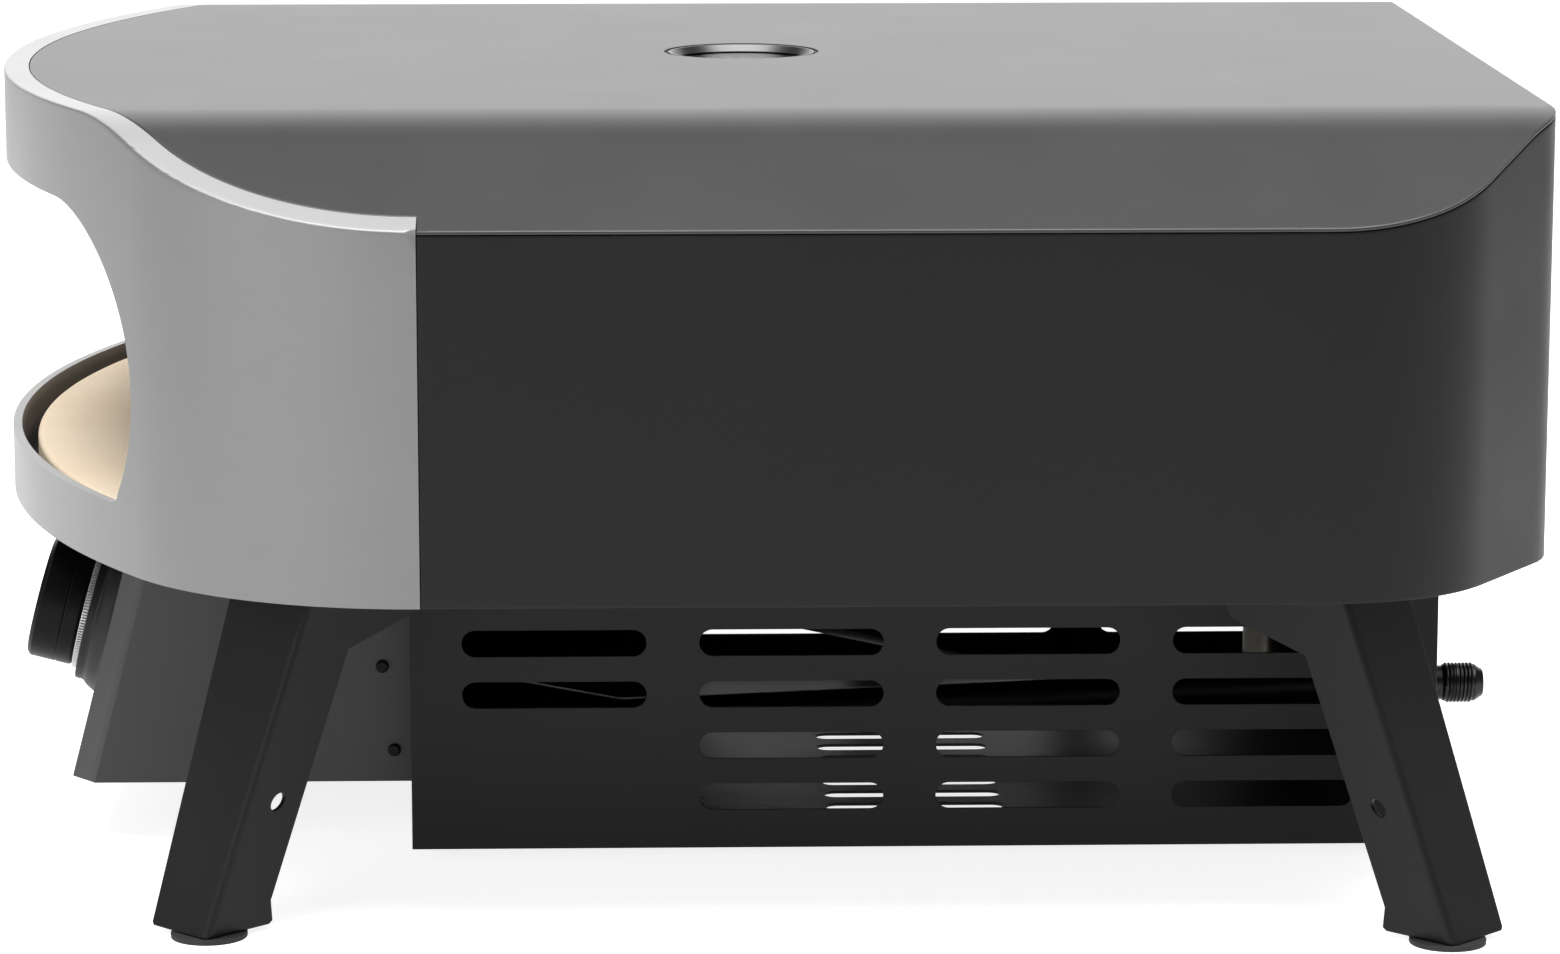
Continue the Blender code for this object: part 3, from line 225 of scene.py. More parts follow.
# %% Powder coats
def powder_coat(name, dark, light, rough_low, rough_high, metallic=0.0, shine=0.5, upward_highlight=None):
    """Baked powder skin: fine ripples, a slow drift in tone and, where it is given, a painted highlight: a paler tone
    on upward faces.
    """
    made, tree, shader, place = new_finish(name)
    ripple = noise(tree, place, 1.6 * MM, 2.0)
    cloud = noise(tree, place, 55 * MM, 4.0)
    grain = noise(tree, place, 0.45 * MM, 1.0)
    tone = add_node(tree, "ShaderNodeMix", {0: 0.35, 2: cloud, 3: grain}).outputs[0]
    colour = blend_colours(tree, spread(tree, tone, 0.0, 1.0), linear(dark), linear(light))
    # Painted highlight: upward faces are blended towards the given paler colour, for the light that falls from above.
    if upward_highlight:
        facing = add_node(tree, "ShaderNodeSeparateXYZ", {0: add_node(tree, "ShaderNodeTexCoord").outputs["Normal"]})
        upward = add_node(tree, "ShaderNodeMapRange", {0: facing.outputs[2], 1: 0.5, 2: 0.9})
        colour = blend_colours(tree, upward.outputs[0], colour, linear(upward_highlight))
    rough = spread(tree, cloud, rough_low, rough_high)
    fill(tree, shader, {"Base Color": colour, "Roughness": rough, "Metallic": metallic, "Specular IOR Level": shine})
    bump(tree, shader, ripple, 0.04 * MM, 0.5)
    return made


finishes = {
    # Graphite coat, evenly satin, so that the roof holds one long soft highlight.
    "roof_paint": powder_coat("powder_coat_graphite", "1F1F21", "252527", 0.36, 0.38),
    # Black coat with little shine, which stays dark where the light only grazes it.
    "black_paint": powder_coat("powder_coat_black", "0B0B0C", "101011", 0.42, 0.5, shine=0.2),
    # Grey coat with metal flake. Upward faces, such as the lip, carry a painted highlight: a paler tone for the light
    # from above.
    "silver_paint": powder_coat("powder_coat_silver", "646464", "6B6B6B", 0.36, 0.42, 0.2, 0.7, "8E8E8E"),
    # Dark grey coat with a rougher skin, for the control box. It looks softer than the black.
    "charcoal_paint": powder_coat("powder_coat_charcoal", "2A2A2B", "343435", 0.46, 0.56, shine=0.4),
}


# %% Fired cordierite
def cordierite():
    """Fired clay plate: sandy and matte, with dark grains, fine pores and faint browned patches."""
    made, tree, shader, place = new_finish("cordierite")
    cloud = noise(tree, place, 70 * MM, 4.0)
    grain = noise(tree, place, 1.1 * MM, 4.0, 0.7)
    sand = blend_colours(tree, spread(tree, grain, 0.0, 1.0), linear("F6DFBF"), linear("FCEFDA"))
    warm = blend_colours(tree, spread(tree, cloud, 0.0, 0.35), sand, linear("E6C8A4"))
    cells = add_node(tree, "ShaderNodeTexVoronoi", {"Vector": place, "Scale": 1 / (3.4 * MM)}).outputs["Distance"]
    specks = add_node(tree, "ShaderNodeMapRange", {0: cells, 1: 0.05, 2: 0.14, 3: 0.55, 4: 0.0}).outputs[0]
    colour = blend_colours(tree, specks, warm, linear("A08263"))
    fill(tree, shader, {"Base Color": colour, "Roughness": 0.88})
    rough = add_node(tree, "ShaderNodeMath", {0: grain, 1: specks}, operation="SUBTRACT").outputs[0]
    bump(tree, shader, rough, 0.18 * MM, 0.6)
    return made


finishes["stone"] = cordierite()


# %% Bare metals
def drawn_metal(name, dark, light, rough_low, rough_high, grain_mm=0.5, stretch=(1, 1, 0.04), metallic=1.0):
    """Bare metal with fine lines left by rolling or turning, and slow changes in its shine."""
    made, tree, shader, place = new_finish(name)
    lines = add_node(tree, "ShaderNodeMapping", {"Vector": place, "Scale": stretch}).outputs[0]
    fine = noise(tree, lines, grain_mm * MM, 3.0)
    cloud = noise(tree, place, 40 * MM, 3.0)
    colour = blend_colours(tree, spread(tree, cloud, 0.0, 1.0), linear(dark), linear(light))
    tone = add_node(tree, "ShaderNodeMix", {0: 0.5, 2: fine, 3: cloud}).outputs[0]
    rough = spread(tree, tone, rough_low, rough_high)
    fill(tree, shader, {"Base Color": colour, "Roughness": rough, "Metallic": metallic})
    bump(tree, shader, fine, 0.01 * MM, 0.4)
    return made


# Rolled stainless, a little warm, with streaks along the sheet.
finishes["liner_steel"] = drawn_metal("rolled_stainless", "9C968C", "B8B2A6", 0.30, 0.46)
# Zinc coat: dull, with spangles about a centimetre across in place of lines.
finishes["galvanised"] = drawn_metal("zinc_coated_steel", "8E9294", "A9ADAF", 0.42, 0.6, 8.0, (1, 1, 1))
# Nickel plate, in three grades: bright on the probe, satin on the knob's ring and smoked round the dial.
finishes["bright_metal"] = drawn_metal("nickel_plate", "B9B9BA", "D0D0D1", 0.16, 0.28, 0.3)
finishes["satin_nickel"] = drawn_metal("satin_nickel", "C6C6C7", "D6D6D6", 0.32, 0.42, 0.3, metallic=0.75)
finishes["dial_metal"] = drawn_metal("smoked_nickel", "4A4A4B", "5A5A5B", 0.3, 0.38, 0.3)
# Oil-blackened steel, which keeps a dark metallic gleam on threads and pipes.
finishes["dark_steel"] = drawn_metal("blackened_steel", "2A2A2B", "3A3A3B", 0.30, 0.42, 0.4)
# Turned brass: yellow, with fine tool lines.
finishes["brass"] = drawn_metal("turned_brass", "A8853F", "C4A057", 0.24, 0.38, 0.4)


# %% Plastics, rubber, fibre, enamel, ceramic and glass
def moulded(name, dark, light, roughness, texture_mm, depth_mm, shine=0.5):
    """A moulded or coated matte surface: even colour with a fine texture pressed into it."""
    made, tree, shader, place = new_finish(name)
    fine = noise(tree, place, texture_mm * MM, 2.0)
    cloud = noise(tree, place, 22 * MM, 3.0)
    tone = add_node(tree, "ShaderNodeMix", {0: 0.5, 2: fine, 3: cloud}).outputs[0]
    colour = blend_colours(tree, spread(tree, tone, 0.0, 1.0), linear(dark), linear(light))
    rough = spread(tree, tone, roughness - 0.06, roughness + 0.06)
    fill(tree, shader, {"Base Color": colour, "Roughness": rough, "Specular IOR Level": shine})
    bump(tree, shader, fine, depth_mm * MM, 0.5)
    return made


# Knob plastic: near black with a faint sheen. The bezel's plastic is a shade paler and more matte.
finishes["black_plastic"] = moulded("moulded_abs", "050506", "09090A", 0.42, 0.6, 0.03, 0.12)
finishes["satin_black"] = moulded("satin_abs", "121212", "181818", 0.5, 0.6, 0.03, 0.3)
# Foot rubber: matte and slightly dusty.
finishes["rubber"] = moulded("moulded_rubber", "161616", "232322", 0.78, 0.9, 0.08)
# Fibre blanket: off-white and woolly, with no shine at all.
finishes["blanket"] = moulded("ceramic_fibre", "CFCBC0", "E4E1D8", 0.92, 2.5, 0.8)
# Dial enamel: a grey ground for black marks, and a red for the pointer.
finishes["dial_white"] = moulded("dial_enamel", "575653", "5F5E5B", 0.6, 0.8, 0.01, 0.2)
finishes["pointer_red"] = moulded("pointer_enamel", "A81E18", "B8261E", 0.4, 0.8, 0.01)
# Glazed alumina: pale and smooth.
finishes["ceramic"] = moulded("alumina", "DDD8CC", "E8E4DA", 0.35, 1.2, 0.02)


ANTI_GLARE_IOR = 1.12  # far below bare glass, because the coat takes most of the reflection away


def clear_glass():
    """A flat pane with an anti-glare coat: its only signs are a weak reflection and a faint smear of dust."""
    made, tree, shader, place = new_finish("float_glass")
    dust = noise(tree, place, 6 * MM, 4.0)
    smear = spread(tree, dust, 0.02, 0.09)
    clear = {"Base Color": linear("F2F6F5"), "Transmission Weight": 1.0, "IOR": ANTI_GLARE_IOR}
    fill(tree, shader, {"Roughness": smear} | clear)
    return made


finishes["glass"] = clear_glass()

# %% [markdown]
# ## Floor
# The oven stands on a white studio board. The board glows a little, so that it stays white under soft light and
# takes only a faint shadow from the legs.

# %% Floor
FLOOR_HALF = 12
FLOOR_GLOW = 0.84
floor_mesh = bmesh.new()
bmesh.ops.create_grid(floor_mesh, x_segments=1, y_segments=1, size=FLOOR_HALF)
floor_data = bpy.data.meshes.new("floor")
floor_mesh.to_mesh(floor_data)
floor = to_scene("floor", floor_data)
board = moulded("matte_board", "C4C4C4", "CCCCCC", 0.9, 4.0, 0.01)
glow = {"Emission Color": linear("FFFFFF"), "Emission Strength": FLOOR_GLOW}
fill(board.node_tree, board.node_tree.nodes["Principled BSDF"], glow)
floor_data.materials.append(board)
print("floor is", 2 * FLOOR_HALF, "m across")

# %% [markdown]
# ## Making a piece
# Every piece below ends the same way. Its points are merged, its faces are turned outward, flat faces and round
# faces are told apart by the angle between them, and it is tied to the part of the oven that it moves with.

# %% Finished pieces
body_of = {node: body for body, nodes in frame["record"]["behaviour"]["bodies"].items() for node in nodes}
slot_of = {part["node"]: part["material_slot"] for part in frame["record"]["subparts"]}
weights = {}


def finished(name, mesh, finish, stands_for=(), body="oven", outward=True):
    """Turns a bmesh into a piece with its finish, smooth shading and body, and hides the frame nodes that it stands
    for.
    """
    bmesh.ops.remove_doubles(mesh, verts=mesh.verts, dist=0.001 * MM)
    if outward:
        bmesh.ops.recalc_face_normals(mesh, faces=mesh.faces)
    data = bpy.data.meshes.new(name)
    mesh.to_mesh(data)
    mesh.free()
    data.polygons.foreach_set("use_smooth", [True] * len(data.polygons))
    data.set_sharp_from_angle(angle=math.radians(32))
    data.materials.append(finishes[finish])
    made = to_scene(name, data)
    made.modifiers.new("face_weights", "WEIGHTED_NORMAL").keep_sharp = True
    made.data = bpy.data.meshes.new_from_object(made.evaluated_get(bpy.context.evaluated_depsgraph_get()))
    made.modifiers.clear()
    weights[name] = len(made.data.polygons)
    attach(made, body)
    if stands_for:
        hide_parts(*stands_for)
    return made


def round_edges(mesh, width, segments=3, least=36):
    """Rolls a small radius onto every edge that turns by more than the given angle."""
    sharp = [e for e in mesh.edges if e.is_manifold and e.calc_face_angle() > math.radians(least)]
    bmesh.ops.bevel(
        mesh, geom=sharp, offset=width, segments=segments, profile=0.5, affect="EDGES", clamp_overlap=True
    )


# %% [markdown]
# ## Sheet metal from a flat pattern
# Each shell of the oven starts as a flat blank that is cut by laser and then bent. The same order works here. A
# blank is drawn in two dimensions with its holes, filled with triangles, and then each of its points is moved to
# its bent place, once for the outer face and once for the inner face. Points in rings round each cut keep the
# triangles there even, so that the cut edge can be rounded.


# %% Blanks
def inside(point, loop):
    """Whether a flat point lies in a closed loop, by counting the edges to one side of it."""
    x, y = point
    odd = False
    for (x1, y1), (x2, y2) in zip(loop, loop[1:] + loop[:1]):
        if (y1 > y) != (y2 > y) and x < x1 + (y - y1) / (y2 - y1) * (x2 - x1):
            odd = not odd
    return odd


def grown(loop, reach):
    """The loop moved sideways by reach, outward when it runs anticlockwise."""
    moved = []
    for i, here in enumerate(loop):
        before, after = Vector(loop[i - 1]), Vector(loop[(i + 1) % len(loop)])
        along = (after - before).normalized()
        moved.append((here[0] + along.y * reach, here[1] - along.x * reach))
    return moved


def spaced(loop, gap):
    """The loop with extra points, so that no edge is longer than gap."""
    points = []
    for here, after in zip(loop, loop[1:] + loop[:1]):
        here, after = Vector(here), Vector(after)
        steps = max(1, math.ceil((after - here).length / gap))
        points += [tuple(here.lerp(after, i / steps)) for i in range(steps)]
    return points


def blank(outline, holes, columns, rows, ring=1.2 * MM, extra=()):
    """Fills a flat outline with triangles, on a grid of columns and rows that keeps clear of the cuts."""
    loops = [outline] + holes
    points, edges = [], []
    for loop in loops:
        start = len(points)
        points += loop
        edges += [(start + i, start + (i + 1) % len(loop)) for i in range(len(loop))]
    near = [grown(outline, -ring)] + [grown(hole, ring) for hole in holes]
    far = [grown(outline, -2.5 * ring)] + [grown(hole, 2.5 * ring) for hole in holes]
    for loop in near + far:
        points += loop
    keep_in, keep_out = far[0], far[1:]
    for u in columns:
        for v in rows:
            if inside((u, v), keep_in) and not any(inside((u, v), hole) for hole in keep_out):
                points.append((u, v))
    points += [p for p in extra if not any(inside(p, hole) for hole in keep_out)]
    flat = [Vector(p) for p in points]
    done = delaunay_2d_cdt(flat, edges, [], 1, 1e-7)
    corners, faces = done[0], done[2]
    kept = []
    for face in faces:
        middle = sum((corners[i] for i in face), Vector((0, 0))) / len(face)
        if not any(inside(middle, hole) for hole in holes):
            kept.append(face)
    return [tuple(c) for c in corners], kept


def bent(points, faces, outer, inner):
    """Gives a blank its thickness and its bent shape."""
    mesh = bmesh.new()
    over = [mesh.verts.new(outer(*p)) for p in points]
    under = [mesh.verts.new(inner(*p)) for p in points]
    directed = set()
    for face in faces:
        mesh.faces.new([over[i] for i in face])
        mesh.faces.new([under[i] for i in reversed(face)])
        directed |= {(face[i - 1], face[i]) for i in range(len(face))}
    for i, j in directed:
        if (j, i) not in directed:
            mesh.faces.new((over[j], over[i], under[i], under[j]))
    for vert in [v for v in mesh.verts if not v.link_faces]:
        mesh.verts.remove(vert)
    bmesh.ops.recalc_face_normals(mesh, faces=mesh.faces)
    return mesh


def between(low, high, gap):
    """Evenly spaced numbers from low to high, no further apart than gap."""
    steps = max(1, math.ceil((high - low) / gap))
    return [low + (high - low) * i / steps for i in range(steps + 1)]


# %% [markdown]
# ## The plan and the roof line
# Seen from above, the front is one wide arc with a smaller arc at each side. Each rear corner is an arc, a short
# flat and a smaller arc. Seen from the front, the roof is flat in the middle, bends, and slopes to the sides.
# Every shell follows these two rules, so they are written once.

# %% Plan and roof
FRONT_R = 460 * MM
SIDE_R = 121.5 * MM
CORNER_R, CORNER_END_R = 70 * MM, 36 * MM
CORNER_TURN = math.radians(56.6)
CORNER_FLAT = 48 * MM
FLAT_HALF = 201.7 * MM
BEND_R = 105 * MM
SLOPE = math.radians(22.3)
SEAM = 0.3 * MM

arc_y = front_y + FRONT_R
side_x = half_w - SIDE_R
join_y = arc_y - math.sqrt((FRONT_R - SIDE_R) ** 2 - side_x**2)
arc_turn = math.atan2(side_x, arc_y - join_y)
arc_length = FRONT_R * arc_turn
front_length = arc_length + SIDE_R * (math.pi / 2 - arc_turn)
print("front band is", round(2 * front_length * 1000, 1), "mm along its curve")


def front_place(s):
    """Plan point and inward direction at a distance along the front from its middle."""
    side, away = (-1 if s < 0 else 1), abs(s)
    if away <= arc_length:
        turn, radius, centre = away / FRONT_R, FRONT_R, (0, arc_y)
    else:
        turn, radius, centre = arc_turn + (away - arc_length) / SIDE_R, SIDE_R, (side_x, join_y)
    x, y = centre[0] + radius * math.sin(turn), centre[1] - radius * math.cos(turn)
    return Vector((side * x, y, 0)), Vector((-side * math.sin(turn), math.cos(turn), 0))


def front_distance(x):
    """Distance along the front at which the plan reaches a given x."""
    away = abs(x)
    if away <= FRONT_R * math.sin(arc_turn):
        s = FRONT_R * math.asin(away / FRONT_R)
    else:
        s = arc_length + SIDE_R * (math.asin(min(1, (away - side_x) / SIDE_R)) - arc_turn)
    return math.copysign(s, x)


end_y = rear_y - CORNER_END_R
corner_x = half_w - CORNER_R
corner_step = CORNER_R - CORNER_END_R
end_x = corner_x + corner_step * math.cos(CORNER_TURN) - CORNER_FLAT * math.sin(CORNER_TURN)
corner_y = end_y - corner_step * math.sin(CORNER_TURN) - CORNER_FLAT * math.cos(CORNER_TURN)
rear_runs = (
    end_x,
    CORNER_END_R * (math.pi / 2 - CORNER_TURN),
    CORNER_FLAT,
    CORNER_R * CORNER_TURN,
    corner_y - join_y,
)
rear_length = sum(rear_runs)
print("side wrap is", round(2 * rear_length * 1000, 1), "mm along its curve")


def rear_place(s):
    """Plan point and inward direction at a distance along the back from its middle."""
    side, away = (-1 if s < 0 else 1), abs(s)
    run = 0
    while run < len(rear_runs) - 1 and away > rear_runs[run]:
        away -= rear_runs[run]
        run += 1
    if run == 0:  # straight back
        turn, x, y = math.pi / 2, away, rear_y
    elif run == 1:  # smaller arc
        turn = math.pi / 2 - away / CORNER_END_R
        x, y = end_x + CORNER_END_R * math.cos(turn), end_y + CORNER_END_R * math.sin(turn)
    elif run == 2:  # short flat
        turn = CORNER_TURN
        x = end_x + CORNER_END_R * math.cos(turn) + away * math.sin(turn)
        y = end_y + CORNER_END_R * math.sin(turn) - away * math.cos(turn)
    elif run == 3:  # wider arc
        turn = CORNER_TURN - away / CORNER_R
        x, y = corner_x + CORNER_R * math.cos(turn), corner_y + CORNER_R * math.sin(turn)
    else:  # straight side
        turn, x, y = 0, half_w, corner_y - away
    return Vector((side * x, y, 0)), Vector((-side * math.cos(turn), -math.sin(turn), 0))


def roof_height(x):
    """Height of the roof's outer face at a distance from the middle: flat, bend, slope."""
    away, bend = abs(x) - FLAT_HALF, BEND_R * math.sin(SLOPE)
    if away <= 0:
        return height
    if away < bend:
        return height - BEND_R + math.sqrt(BEND_R**2 - away**2)
    return height - BEND_R * (1 - math.cos(SLOPE)) - (away - bend) * math.tan(SLOPE)


# %% [markdown]
# ## Front band
# The band is the oven's face: silver sheet round the front, with a wide mouth and a flat lip that covers the
# roof's edge. Its blank is measured along the curve, so the mouth is laid out there too and bends with the sheet.

# %% Mouth outline
MOUTH_TOP = 34.7 * MM
MOUTH_BOTTOM = 140.3 * MM
MOUTH_R = 65 * MM
MOUTH_HALF = 240 * MM
FOOT_ARC = 5 * MM


def mouth_outline():
    """The mouth as an anticlockwise loop of (distance along the curve, height)."""
    centre_x, centre_z = MOUTH_HALF - MOUTH_R, height - MOUTH_TOP - MOUTH_R
    low_z = height - MOUTH_BOTTOM
    foot = math.asin((low_z + FOOT_ARC - centre_z) / MOUTH_R)
    right = []
    for i in range(41):
        a = foot + (math.pi / 2 - foot) * i / 40
        right.append((centre_x + MOUTH_R * math.cos(a), centre_z + MOUTH_R * math.sin(a)))
    corner = right[0][0]
    right.insert(0, (corner - FOOT_ARC * 0.35, low_z + FOOT_ARC * 0.25))
    right.insert(0, (corner - FOOT_ARC * 1.2, low_z))
    loop = right + [(-x, z) for x, z in reversed(right)]
    return spaced([(front_distance(x), z) for x, z in loop], 4 * MM)


mouth = mouth_outline()
print("mouth outline has", len(mouth), "points")

# %% Band
BAND_T = 3.4 * MM
LIP_W = 9.5 * MM
LIP_T = 2.4 * MM
FOLD_R = 0.9 * MM
end = front_length
stations = between(-end, end, 4 * MM)


def roof_over(s):
    return roof_height(front_place(s)[0].x)


def band_outer(s, v):
    """Outer face: up the wall, round a small fold, and inward along the lip."""
    point, inward = front_place(max(-end, min(end, s)))
    over = v - roof_over(s)
    if over <= -FOLD_R:
        return (point.x, point.y, v)
    turn = min(1, (over + FOLD_R) / (2 * FOLD_R)) * math.pi / 2
    inset = over if over >= FOLD_R else FOLD_R * (1 - math.cos(turn))
    point = point + inward * inset
    return (point.x, point.y, roof_height(point.x) - FOLD_R * (1 - math.sin(turn)))


def band_inner(s, v):
    point, inward = front_place(max(-end, min(end, s)))
    over = v - roof_over(s)
    point = point + inward * max(BAND_T, over)
    return (point.x, point.y, v if over <= -LIP_T else roof_height(point.x) - LIP_T)


top_edge = [(s, roof_over(s) + LIP_W) for s in reversed(stations)]
fold_rows = (-LIP_T / FOLD_R, -1, -0.5, 0, 0.5, 1, BAND_T / FOLD_R)
fold_points = [(s, roof_over(s) + FOLD_R * k) for s in stations[1:-1] for k in fold_rows]
band_blank = blank(
    spaced([(-end, body_z), (end, body_z)] + top_edge, 4 * MM),
    [mouth],
    stations,
    between(body_z, height + LIP_W, 9 * MM),
    extra=fold_points,
)
mesh = bent(*band_blank, band_outer, band_inner)
round_edges(mesh, 0.6 * MM)
finished("front_band_shell", mesh, "silver_paint", ["front_band"])
print("front band", weights["front_band_shell"], "faces")

# %% [markdown]
# ## Side and rear wrap
# One strip of black sheet runs down one side, round the back and up the other side. It is a plain band that
# follows the plan's two rear corners, and its top edge follows the roof line just under the roof sheet.

# %% Wrap
WALL_T = 1.2 * MM
ROOF_T = 1.2 * MM
wrap_end = rear_length - SEAM
wrap_stations = between(-wrap_end, wrap_end, 4 * MM)


def wrap_top(s):
    return roof_height(rear_place(s)[0].x) - ROOF_T - SEAM


def on_wrap(inset):
    def place(s, z):
        point, inward = rear_place(max(-wrap_end, min(wrap_end, s)))
        point = point + inward * inset
        return (point.x, point.y, z)

    return place


edge = [(s, wrap_top(s)) for s in reversed(wrap_stations)]
outline = spaced([(-wrap_end, body_z), (wrap_end, body_z)] + edge, 6 * MM)
wrap_blank = blank(outline, [], wrap_stations, between(body_z, height, 20 * MM))
mesh = bent(*wrap_blank, on_wrap(0), on_wrap(WALL_T))
round_edges(mesh, 0.4 * MM, 2)
finished("side_wrap_shell", mesh, "black_paint", ["side_wrap"])
print("wrap is", round(2 * wrap_end * 1000), "mm long,", weights["side_wrap_shell"], "faces")

# %% [markdown]
# ## Roof
# The roof is one sheet, bent twice, that lies inside the lip at the front and ends flush with the wrap at the
# back. A round hole in its middle takes the thermometer.

# %% Roof sheet
dial_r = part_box("thermometer_case")[1][0]


def circle(radius, steps):
    angles = [2 * math.pi * i / steps for i in range(steps)]
    return [(radius * math.cos(a), radius * math.sin(a)) for a in angles]


front_edge = []
for s in between(-end, end, 4 * MM):
    point, inward = front_place(s)
    point = point + inward * (LIP_W + SEAM)
    front_edge.append((point.x, point.y))
rear_edge = [tuple(rear_place(s)[0][:2]) for s in between(-wrap_end, wrap_end, 4 * MM)]
rear_edge = rear_edge[::-1]
bends = [side * (FLAT_HALF + BEND_R * math.sin(SLOPE * k / 10)) for side in (1, -1) for k in range(11)]
columns = sorted(bends + between(-FLAT_HALF + 20 * MM, FLAT_HALF - 20 * MM, 14 * MM) + [-270 * MM, 270 * MM])
roof_blank = blank(front_edge + rear_edge, [circle(dial_r + SEAM, 72)], columns, between(front_y, rear_y, 12 * MM))
mesh = bent(
    *roof_blank,
    lambda x, y: (x, y, roof_height(x)),
    lambda x, y: (x, y, roof_height(x) - ROOF_T),
)
round_edges(mesh, 0.4 * MM, 2)
finished("roof_sheet", mesh, "roof_paint", ["roof_cover"])
print("roof sheet", weights["roof_sheet"], "faces")

# %% [markdown]
# ## Legs
# Each leg is cut flat and bent once, lengthwise, into an angle. Its inner face widens into a gusset under the
# body and has a step at the foot, and it leans outward both ways. The blank is measured from the bend: negative
# to the outer face, positive to the inner face.

# %% Leg rules
LEG_T = 2 * MM
LEG_BEND_R = 3 * MM
SPLAY = (0.16, 0.318)
OUTER_LOW = 30.5 * MM
FACE = 27 * MM
GUSSET = 30 * MM
STEP = 4 * MM
TIP = 1.2 * MM
GUSSET_LOW = height - 191 * MM
GUSSET_RISE = 9 * MM
HOLE = (15 * MM, height - 243.2 * MM, 3.1 * MM)
DIAGONAL = math.cos(math.pi / 4)
leg_top, leg_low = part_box("leg_front_right")[1][2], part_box("leg_front_right")[0][2]


def leg_blank(outer_top):
    """The flat blank of a leg, with its hole and extra rows of points along the bend."""
    wide, gusset_high = FACE + GUSSET, GUSSET_LOW + GUSSET_RISE
    outline = [
        (TIP - OUTER_LOW, leg_low),
        (FACE + STEP - TIP, leg_low),
        (FACE + STEP, leg_low + TIP),
        (FACE, leg_low + 9 * MM),
        (FACE, GUSSET_LOW),
        (wide, gusset_high),
        (wide + STEP, leg_top),
        (-outer_top, leg_top),
        (-OUTER_LOW, leg_low + TIP),
    ]
    u, v, r = HOLE
    hole = [(u + x, v + y) for x, y in circle(r, 28)]
    heights = between(leg_low + 2 * MM, leg_top - 2 * MM, 5 * MM)
    folds = [(LEG_BEND_R * k / 3, z) for k in range(-3, 4) for z in heights]
    columns = between(-outer_top, -2 * LEG_BEND_R, 6 * MM) + between(2 * LEG_BEND_R, wide, 6 * MM)
    rows = between(leg_low, leg_top, 6 * MM)
    return blank(spaced(outline, 3 * MM), [hole], columns, rows, ring=0.9 * MM, extra=folds)


def leg_face(foot, mirror, inset):
    """Bent place of a blank point on the face that lies inset below the outer one."""
    outer_arm = Vector((-DIAGONAL, mirror * DIAGONAL, 0))
    inner_arm = Vector((-DIAGONAL, -mirror * DIAGONAL, 0))

    def place(u, z):
        up = z - leg_low
        corner = Vector((foot[0] - SPLAY[0] * up, foot[1] - mirror * SPLAY[1] * up, z))
        if abs(u) >= LEG_BEND_R:
            arm, other = (inner_arm, outer_arm) if u > 0 else (outer_arm, inner_arm)
            return corner + arm * abs(u) + other * inset
        centre = corner + (outer_arm + inner_arm) * LEG_BEND_R
        turn = (u / LEG_BEND_R + 1) * math.pi / 4
        return centre - (inner_arm * math.cos(turn) + outer_arm * math.sin(turn)) * (LEG_BEND_R - inset)

    return place


def leg_plate(mesh, foot, mirror, z, thickness, outer_w, inner_w):
    """Adds a triangular flange between the two faces."""
    face = leg_face(foot, mirror, 0)
    corner = face(0, z) + Vector((-LEG_T, 0, 0))
    outline = [face(-outer_w, z), corner, face(inner_w, z)]
    inward = Vector((-0.8 * MM, 0, 0))
    low = [mesh.verts.new(p + inward) for p in outline]
    top = [mesh.verts.new(p + inward + Vector((0, 0, thickness))) for p in outline]
    mesh.faces.new(low)
    mesh.faces.new(top[::-1])
    for i in range(3):
        j = (i + 1) % 3
        mesh.faces.new((low[i], top[i], top[j], low[j]))


# %% Four legs
LEGS = (  # name, corner of the foot, width of the outer face at the top, and which way the leg faces
    ("front", (278 * MM, -196.9 * MM), 43 * MM, -1),
    ("rear", (298 * MM, 246.9 * MM), 37 * MM, 1),
)
for tag, foot, outer_top, mirror in LEGS:
    for hand, side in (("right", 1), ("left", -1)):
        mesh = bent(*leg_blank(outer_top), leg_face(foot, mirror, 0), leg_face(foot, mirror, LEG_T))
        round_edges(mesh, 0.35 * MM, 2)
        top_widths = (outer_top - 2 * LEG_T, FACE + GUSSET - 3 * LEG_T)
        leg_plate(mesh, foot, mirror, leg_top - LEG_T, LEG_T - 0.01 * MM, *top_widths)
        leg_plate(mesh, foot, mirror, leg_low + 0.01 * MM, LEG_T, FACE - 2 * LEG_T, FACE - 2 * LEG_T)
        for vert in mesh.verts:
            vert.co.x *= side
        finished(f"leg_{tag}_{hand}_sheet", mesh, "black_paint", [f"leg_{tag}_{hand}"])
print("a leg has", weights["leg_rear_left_sheet"], "faces")

# %% [markdown]
# ## Turned pieces
# Knob, feet, bezel, inlet and dial ring are all round about one axis, so each is half of a section turned about
# it. A lathe tool leaves a small radius at each corner, and so does the mould for plastic: the helper rounds the
# section's corners before it turns them.


# %% Turning
def eased(section, radius, steps=3):
    """The section with each corner off the axis replaced by a short curve."""
    points = []
    for i, here in enumerate(section):
        here = Vector(here)
        before, after = Vector(section[i - 1]), Vector(section[(i + 1) % len(section)])
        if here.x < 1e-6:
            points.append(tuple(here))
            continue
        reach = min(radius, (before - here).length * 0.45, (after - here).length * 0.45)
        start = here + (before - here).normalized() * reach
        stop = here + (after - here).normalized() * reach
        for k in range(steps + 1):
            t = k / steps
            points.append(tuple(start * (1 - t) ** 2 + here * 2 * t * (1 - t) + stop * t**2))
    return points


